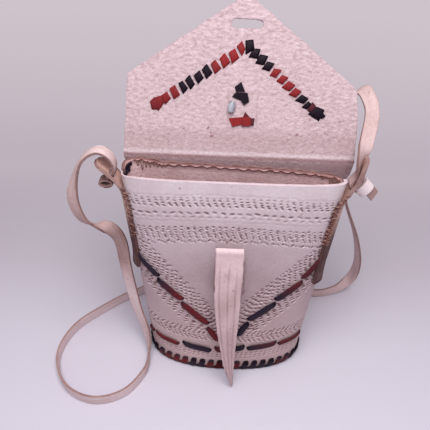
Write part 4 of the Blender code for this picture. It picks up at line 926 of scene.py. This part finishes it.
rows = smooth_line(TONGUE_LINE, 1.5)
bm = lay_strip(rows[:, :3] * MM, [(1.0, 0.0, 0.0)] * len(rows), rows[:, 3] * MM, 32)
mark = bm.verts.layers.float.new("mark")
for vertex in bm.verts:
    x, y, z = vertex.co / MM
    row = rows[int(np.argmin(np.abs(rows[:, 2] - z) + np.abs(rows[:, 1] - y)))]
    half = row[3] / 2.0
    share = (x - row[0]) / half
    hangs = 1.0 if y < -33.0 else 0.0
    # Painted shade on the hanging tongue, darkest low down and at mid height, a painted highlight on the fold at its
    # top, painted shade on the root behind it, and a random mottle.
    wear_and_painted_light = float(np.interp(z, (60.0, 115.0, 140.0, 155.0), (0.26, 0.3, 0.24, -0.3))) if y < -31.0 else 0.2
    wear_and_painted_light += 0.2 * noise.noise(Vector((x * 0.11, z * 0.05, 5.0)))
    creased = 0.0
    # Painted shade darkens each crease, which is also pushed in as a groove.
    for crease in TONGUE_CREASES:
        gap = (share - crease) * half / 1.3
        groove = max(0.0, 1.0 - gap * gap) * hangs * (0.8 + 0.5 * noise.noise(Vector((crease, z * 0.06, 1.0))))
        creased = max(creased, 0.3 * groove)
        vertex.co.y += 0.4 * MM * groove
    speck = 0.7 if math.hypot(x - 4.4, z - 127.5) < 1.1 else 0.0
    vertex[mark] = max(wear_and_painted_light + creased, 0.5 * max(0.0, abs(share) - 0.93) / 0.07, speck)
    vertex.co.x += noise.noise(Vector((share, z * 0.12, 9.0))) * abs(share) ** 3 * 0.9 * MM * min(1.0, half / 6.0)
TONGUE_LEATHER = leather("tongue_leather", shade(230, 202, 207), shade(212, 182, 187), shade(110, 66, 60), 0.0, True)
BROWN_EDGE = leather("brown_edge", shade(176, 142, 138), shade(150, 116, 112), shade(92, 62, 60), 0.4)
tongue = make_piece("tongue_leather", bm, (TONGUE_LEATHER, ROUGH_SIDE, BROWN_EDGE), TONGUE, 0.0, 0.5 * MM)
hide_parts("closing_tongue", "tongue_root")
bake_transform(tongue)


# Side tabs. A strip of leather is sewn over each side seam with waxed thread, and its free
# head stands off the bag as an ear with a slot for the shoulder strap.

TAB_WIDTH = 18.5 * MM
TAB_STEP = 1.3 * MM
TAB_FOOT = 118.0 * MM
TAB_LEAVES = 200.0 * MM   # height where the head leaves the wall
TAB_OUT = 0.3 * MM + LEATHER / 2.0   # middle of the tab's leather, off the wall
EAR_SLOT = (13.2 * MM, 5.6 * MM)
# Middle lines of the heads, out from the wall and up, in millimetres.
LEFT_EAR = ((0, 0), (0.9, 7), (3.3, 14), (7.6, 20.5), (13, 26.5), (18.5, 32), (21, 34.3))
RIGHT_EAR = ((0, 0), (1.3, 7), (4.3, 14), (7.8, 20.5), (10.2, 26.5), (11.3, 32.5), (11.8, 40), (12.4, 47))
TAB_LEATHER = leather("tab_leather", shade(214, 176, 166), shade(188, 148, 138), shade(74, 44, 46), 0.3, True)


def make_tab(name, replaced, side, ear, slot_up, foot, forwards, narrow):
    """A tab whose foot is sewn on a little forwards of the seam and cut narrower at its rear edge."""
    route = smooth_line(ear, 0.5, 2) * MM
    lengths = distances(route)
    head = TAB_LEAVES - foot
    total = head + lengths[-1]
    radius = TAB_WIDTH / 2.0
    slot_at = head + float(np.interp(slot_up, route[:, 1], lengths))
    bm = cut_sheet(-radius, radius, 0.0, total, TAB_STEP)
    cut_out(bm, lambda x, v: abs(x) < EAR_SLOT[0] / 2.0 and abs(v - slot_at) < EAR_SLOT[1] / 2.0)
    set_map(bm)
    mark = bm.verts.layers.float.new("mark")
    for vertex in bm.verts:
        x, v, _ = vertex.co
        wear_and_painted_light = max(0.0, 0.5 * noise.noise(Vector((x * 300.0, v * 90.0, side))))
        # Painted shade: the tab darkens from below its head down to its foot.
        wear_and_painted_light += 0.9 * min(1.0, max(0.0, (head - 2.0 * MM - v) / (30.0 * MM)))
        vertex[mark] = wear_and_painted_light + (0.3 if abs(x) > radius - 1.4 * MM or v < 1.4 * MM else 0.0)
        if v > total - radius:
            x *= math.sqrt(max(0.0, 1.0 - ((v - total + radius) / (radius + 0.1 * MM)) ** 2))
        x -= side * (x * side + radius) * narrow * max(0.0, 1.0 - v / head)
        s = side * (GIRTH / 4.0 - forwards * max(0.0, 1.0 - v / total)) + x
        if v < head:
            loose = 2.0 * MM * max(0.0, 1.0 - v / (22.0 * MM)) ** 2
            vertex.co = wrap(s, foot + v, TAB_OUT + loose)
            continue
        out = float(np.interp(v - head, lengths, route[:, 0]))
        rise = float(np.interp(v - head, lengths, route[:, 1]))
        vertex.co = wrap(s, TAB_LEAVES, TAB_OUT) + Vector((side * out, 0.0, rise))
    item = make_piece(name, bm, (TAB_LEATHER, TAB_LEATHER, BROWN_EDGE), LEATHER, 0.0, 0.4 * MM)
    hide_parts(replaced)
    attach(item, "bag")


make_tab("left_tab", "side_tab_left", -1.0, LEFT_EAR, 22.2 * MM, TAB_FOOT + 10.0 * MM, 8.0 * MM, 0.2)
make_tab("right_tab", "side_tab_right", 1.0, RIGHT_EAR, 18.5 * MM, TAB_FOOT, 12.5 * MM, 0.48)


def waxed_thread(name, dark, light):
    material, tree, shader = new_material(name, 0.55, 0.3)
    place = add_node(tree, "TexCoord").outputs["UV"]
    ply = add_node(tree, "TexWave", Vector=place, Scale=420.0, Distortion=1.5, Detail=1.0).outputs["Fac"]
    cover(tree, shader, ramp(tree, ply, (0.1, dark), (0.9, light)), ply, 0.4, 0.0003)
    return material


RED_THREAD = waxed_thread("waxed_thread", shade(70, 28, 32), shade(116, 62, 62))
BROWN_THREAD = waxed_thread("brown_thread", shade(120, 76, 66), shade(186, 142, 130))


def sew(name, line, place, width, material):
    """One waxed thread through points given in millimetres, laid out by place."""
    points = smooth_line(line, 0.7)
    count = len(points)
    bm = lay_strip(points * MM, [(0.0, 0.0, 1.0)] * count, [width * MM] * count, 2, 0.15 * MM, None, place)
    item = make_piece(name, bm, (material,), 0.5 * MM, 0.0)
    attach(item, "bag")


def on_tab(side, ear, x, z, w):
    """From the flat tab to its place, also where its head stands off the bag."""
    outs, rises = zip(*ear)
    rise = max(0.0, z - TAB_LEAVES)
    out = float(np.interp(rise / MM, rises, outs)) * MM if rise else 0.0
    return wrap(side * GIRTH / 4.0 + x, z - rise, w) + Vector((side * out, 0.0, rise))


chance = np.random.default_rng(5)
for name, side, ear, forwards, pitch, reach, material in (
        ("left_tab_thread", -1.0, LEFT_EAR, 7.0, 5.2, -8.6, RED_THREAD),
        ("left_seam_thread", -1.0, LEFT_EAR, 7.0, 8.3, -7.6, BROWN_THREAD),
        ("right_tab_thread", 1.0, RIGHT_EAR, 14.0, 4.7, -7.6, RED_THREAD),
        ("right_seam_thread", 1.0, RIGHT_EAR, 14.0, 3.9, -5.6, BROWN_THREAD)):
    line = []
    for k in range(int(56.0 / pitch)):   # each stitch goes over the tab's edge to the wall and back
        for across, up, w in ((reach, 0.0, 3.2), (-8.8, 0.16, 3.3), (-10.9, 0.36, 0.9), (-9.0, 0.66, 3.3)):
            z = 164.0 + pitch * (k + up)
            edge = across - forwards * (1.0 - (z - TAB_FOOT / MM) / 125.0) + chance.normal(0.0, 0.5)
            line.append((side * edge, z, w))
    sew(name, line, lambda x, z, w: on_tab(side, ear, x, z, w), 0.75, material)


# Shoulder strap. One long flat strip of the same leather, knotted behind the left ear,
# lying in a loop on the floor and round behind the bag, and up to the right ear.

STRAP_WIDTH = 12.0 * MM
STRAP = 2.5 * MM
STRAP_ROUTE = (   # millimetres, each with the direction of the strap's width
    (-107.5, -1.8, 219.4, 0, 1, 0),
    (-101.8, -1.8, 224.2, 0, 1, 0),
    (-100.9, -1.8, 232, 0, 1, 0),
    (-104.8, -1.7, 240.2, 0, 1, 0),
    (-114.5, -1.4, 243.6, 0, 1, 0),
    (-128, -1, 233.6, -0.1, 1, 0),
    (-137.3, -1.8, 214, -0.55, 0.85, 0),
    (-140.2, -7, 196.5, -0.9, 0.45, 0),
    (-134.4, -11.6, 179.4, -0.75, 0.45, -0.5),
    (-122.4, -12.6, 171.6, -0.1, 0.85, -0.5),
    (-110.8, -9.3, 166.4, 0.45, 0.6, 0.65),
    (-103.6, -5.6, 147.5, 0.95, 0, 0.3),
    (-102, -4, 108, 0.97, -0.25, 0),
    (-95.6, -8.4, 58, 0.9, -0.4, 0.2),
    (-86.3, -17, 29.5, 0.65, -0.5, 0.55),
    (-82.5, -31, 10, 0.15, -0.25, 0.96),
    (-84, -53, 6.5, 0, 0, 1),
    (-101.5, -78.5, 6.5, 0, 0, 1),
    (-131, -87.5, 6.5, 0, 0, 1),
    (-162, -74, 6.5, 0, 0, 1),
    (-180, -40, 6.5, 0, 0, 1),
    (-173, -2.6, 6.5, 0, 0, 1),
    (-146.6, 28.1, 6.5, 0, 0, 1),
    (-110, 57.2, 6.5, 0, 0, 1),
    (-58, 78, 6.5, 0, 0, 1),
    (92, 68.6, 6.5, 0, 0, 1),
    (131.6, 72, 8, -0.15, 0, 1),
    (153, 79, 22, -0.5, 0.5, 0.7),
    (154.2, 71, 58, -0.4, 0.9, 0.1),
    (139.2, 58.2, 110, -0.2, 0.98, 0),
    (114.5, 52.5, 167.5, 0, 1, 0),
    (100.8, 58, 220, 0, 1, 0),
    (101.4, 60, 263.5, 0.3, 0.9, 0.4),
    (107.6, 51.6, 281.5, 0.85, 0.1, 0.5),
    (113.8, 34, 271, 0.98, 0.1, 0.1),
    (107.6, 9.6, 257, 0.95, 0.3, 0),
    (102.9, -1.8, 247.5, 0.7, 0.7, 0),
    (102.6, -1.8, 230.2, 0.2, 1, 0),
    (98.5, -1.8, 221, 0, 1, 0),
    (104.8, -1.8, 217.1, 0, 1, 0),
)

rows = smooth_line(STRAP_ROUTE, 2.5)
strap_line = [Vector(row[:3]) * MM for row in rows]
strap_sides = []
for i, row in enumerate(rows):
    way = (strap_line[min(i + 1, len(rows) - 1)] - strap_line[max(i - 1, 0)]).normalized()
    side = Vector(row[3:])
    strap_sides.append((side - way * side.dot(way)).normalized())
STRAP_LEATHER = leather("strap_leather", shade(218, 191, 192), shade(196, 166, 166), shade(114, 68, 54), 0.2, True)
bm = lay_strip(strap_line, strap_sides, [STRAP_WIDTH] * len(rows), 12)
mark = bm.verts.layers.float.new("mark")
layer = bm.loops.layers.uv["leather"]
for face in bm.faces:
    for loop in face.loops:
        along, across = loop[layer].uv
        x, _, z = loop.vert.co / MM
        wear_and_painted_light = 0.3 * max(0.0, noise.noise(Vector((along * 30.0, across * 200.0, 2.0))))
        # Painted shade where the strap hangs beside the bag past its kink, and painted light low down and round the
        # left ear.
        if x < -85.0:   # darker where it hangs beside the bag, paler round the left ear
            wear_and_painted_light += float(np.interp(z, (20.0, 90.0, 125.0, 160.0, 172.0, 200.0, 235.0),
                                    (-0.25, -0.2, 0.45, 0.55, 0.25, 0.2, -0.06)))
        elif x > 90.0 and z > 225.0:
            wear_and_painted_light += 0.18
        loop.vert[mark] = wear_and_painted_light + 0.25 * max(0.0, abs(across) / STRAP_WIDTH * 2.0 - 0.8) / 0.2
strap = make_piece("strap", bm, (STRAP_LEATHER, STRAP_LEATHER, BROWN_EDGE), STRAP, 0.0, 0.5 * MM)
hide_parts("shoulder_strap")
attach(strap, "bag")


# Knots of the strap. Behind each ear its end is wound round itself and pulled tight; the
# right one leaves a short tail.

def wind(middle, axis, radii, turns, width, tail=()):
    """A strip wound round an axis, its width along that axis, and the tail that comes out of it."""
    middle = Vector(middle)
    axis = Vector(axis).normalized()
    first = axis.cross(Vector((0.0, 1.0, 0.0))).normalized() if abs(axis.y) < 0.9 else Vector((1.0, 0.0, 0.0))
    second = axis.cross(first).normalized()
    line = []
    sides = []
    steps = round(turns * 26)
    for k in range(steps + 1):
        angle = math.tau * turns * k / steps
        swell = 1.0 + 0.32 * k / steps
        spot = middle + first * (radii[0] * swell * math.cos(angle)) + second * (radii[1] * swell * math.sin(angle))
        line.append(spot)
        sides.append(axis)
    if tail:
        points = smooth_line([tuple(line[-1])] + list(tail), 1.0)
        for k, point in enumerate(points[1:]):
            line.append(Vector(point))
            sides.append(axis.lerp(Vector((0.5, 0.35, 0.79)), min(1.0, (k + 1) / 6.0)))
    bm = lay_strip([point * MM for point in line], sides, [width * MM] * len(line), 8)
    mark = bm.verts.layers.float.new("mark")
    wound = sum((b - a).length for a, b in zip(line[:steps], line[1:steps + 1])) * MM
    # Painted highlight: a knot with a tail is made paler where it is wound, and its tail darkens towards its end.
    start = -0.6 if tail else 0.0
    for face in bm.faces:
        for loop in face.loops:
            loop.vert[mark] = float(np.interp(loop[bm.loops.layers.uv["leather"]].uv.x - wound,
                                              (0.0, 2.0 * MM, 8.0 * MM, 13.0 * MM), (start, 0.15, 0.2, 0.6)))
    return bm


# Painted shade: the left knot, behind its ear, is a darker copy of the strap's leather.
SHADED_KNOT_LEATHER = leather("shaded_knot_leather", shade(150, 116, 112), shade(112, 84, 84), shade(64, 42, 44), 0.3, True)
KNOTS = (
    ("left_knot", "strap_knot_left", SHADED_KNOT_LEATHER, (-109.6, -1.8, 213.4), (0, 1, 0), (4.6, 2.7), 1.3, 9.5, ()),
    ("right_knot", "strap_knot_right", STRAP_LEATHER, (109.6, -2.4, 218.4), (0.72, 0, -0.69), (5.5, 4.4), 1.4, 9.6,
     ((113.6, -5, 217.6), (117.4, -4, 214.4), (121.2, -3.4, 210))),
)
for name, replaced, material, middle, axis, radii, turns, width, tail in KNOTS:
    bm = wind(middle, axis, radii, turns, width, tail)
    knot = make_piece(name, bm, (material, material, BROWN_EDGE), 2.0 * MM, 0.0, 0.4 * MM)
    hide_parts(replaced)
    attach(knot, "bag")


# Stitching of the mouth. A black lace closes the left corner inside, and red and brown
# waxed thread sews the flap's margin to the cut edge of the back.

line = ((1.5, 221.6, -2.4), (-1, 222, -3.3), (-5, 222.4, -3.6), (-9.5, 223, -3.6), (-11, 224.6, -1.6),
        (-12.6, 227.6, -1.6), (-12.4, 228.6, -3.4), (-8, 227, -3.6), (-3, 225.6, -3.2), (-1.2, 225.2, -2.6),
        (-0.4, 224.6, -1.4))
points = smooth_line(line, 0.9) * MM - np.array((GIRTH / 4.0, 0.0, 0.0))
count = len(points)
bm = lay_strip(points, [(0.0, 1.0, 0.0)] * count, [3.3 * MM] * count, 4, 0.0, [0.02] * count, wrap)
corner = make_piece("corner_strip", bm, (DYED,), LACE, 0.0)
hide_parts("corner_lace")
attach(corner, "bag")


def along_mouth(s, rise, w):
    """From the right side seam along the back, rise from its cut edge and w outwards."""
    return wrap(GIRTH / 4.0 + s, back_top(GIRTH / 4.0 + s) + rise, w)


def uneven_run(first, last, pitch, low, high, w):
    """Points of a thread that dips and rises by hand along the mouth."""
    chance = np.random.default_rng(3)
    spots = []
    s = first
    while s < last:
        rise = high if len(spots) % 2 else low
        spots.append((s, rise + chance.normal(0.0, 0.25), w))
        s += pitch * chance.uniform(0.7, 1.3)
    return spots


sew("mouth_thread", uneven_run(10.0, 188.0, 4.6, -1.9, -0.4, -3.0), along_mouth, 0.8, RED_THREAD)
sew("fold_thread", uneven_run(14.0, 188.0, 6.6, -0.3, 0.7, 0.3), along_mouth, 0.7, BROWN_THREAD)
for name, start, pitch, width in (("right_corner_thread", 6.0, 2.4, 1.1), ("left_corner_thread", 186.0, -3.4, 0.6)):
    line = []
    for k in range(9):
        s = start + pitch * k
        line += [(s, -0.3, -3.2), (s + 0.45 * pitch, -8.8 + 0.8 * k + chance.normal(0.0, 1.4), -3.2)]
    sew(name, line, along_mouth, width, BROWN_THREAD)
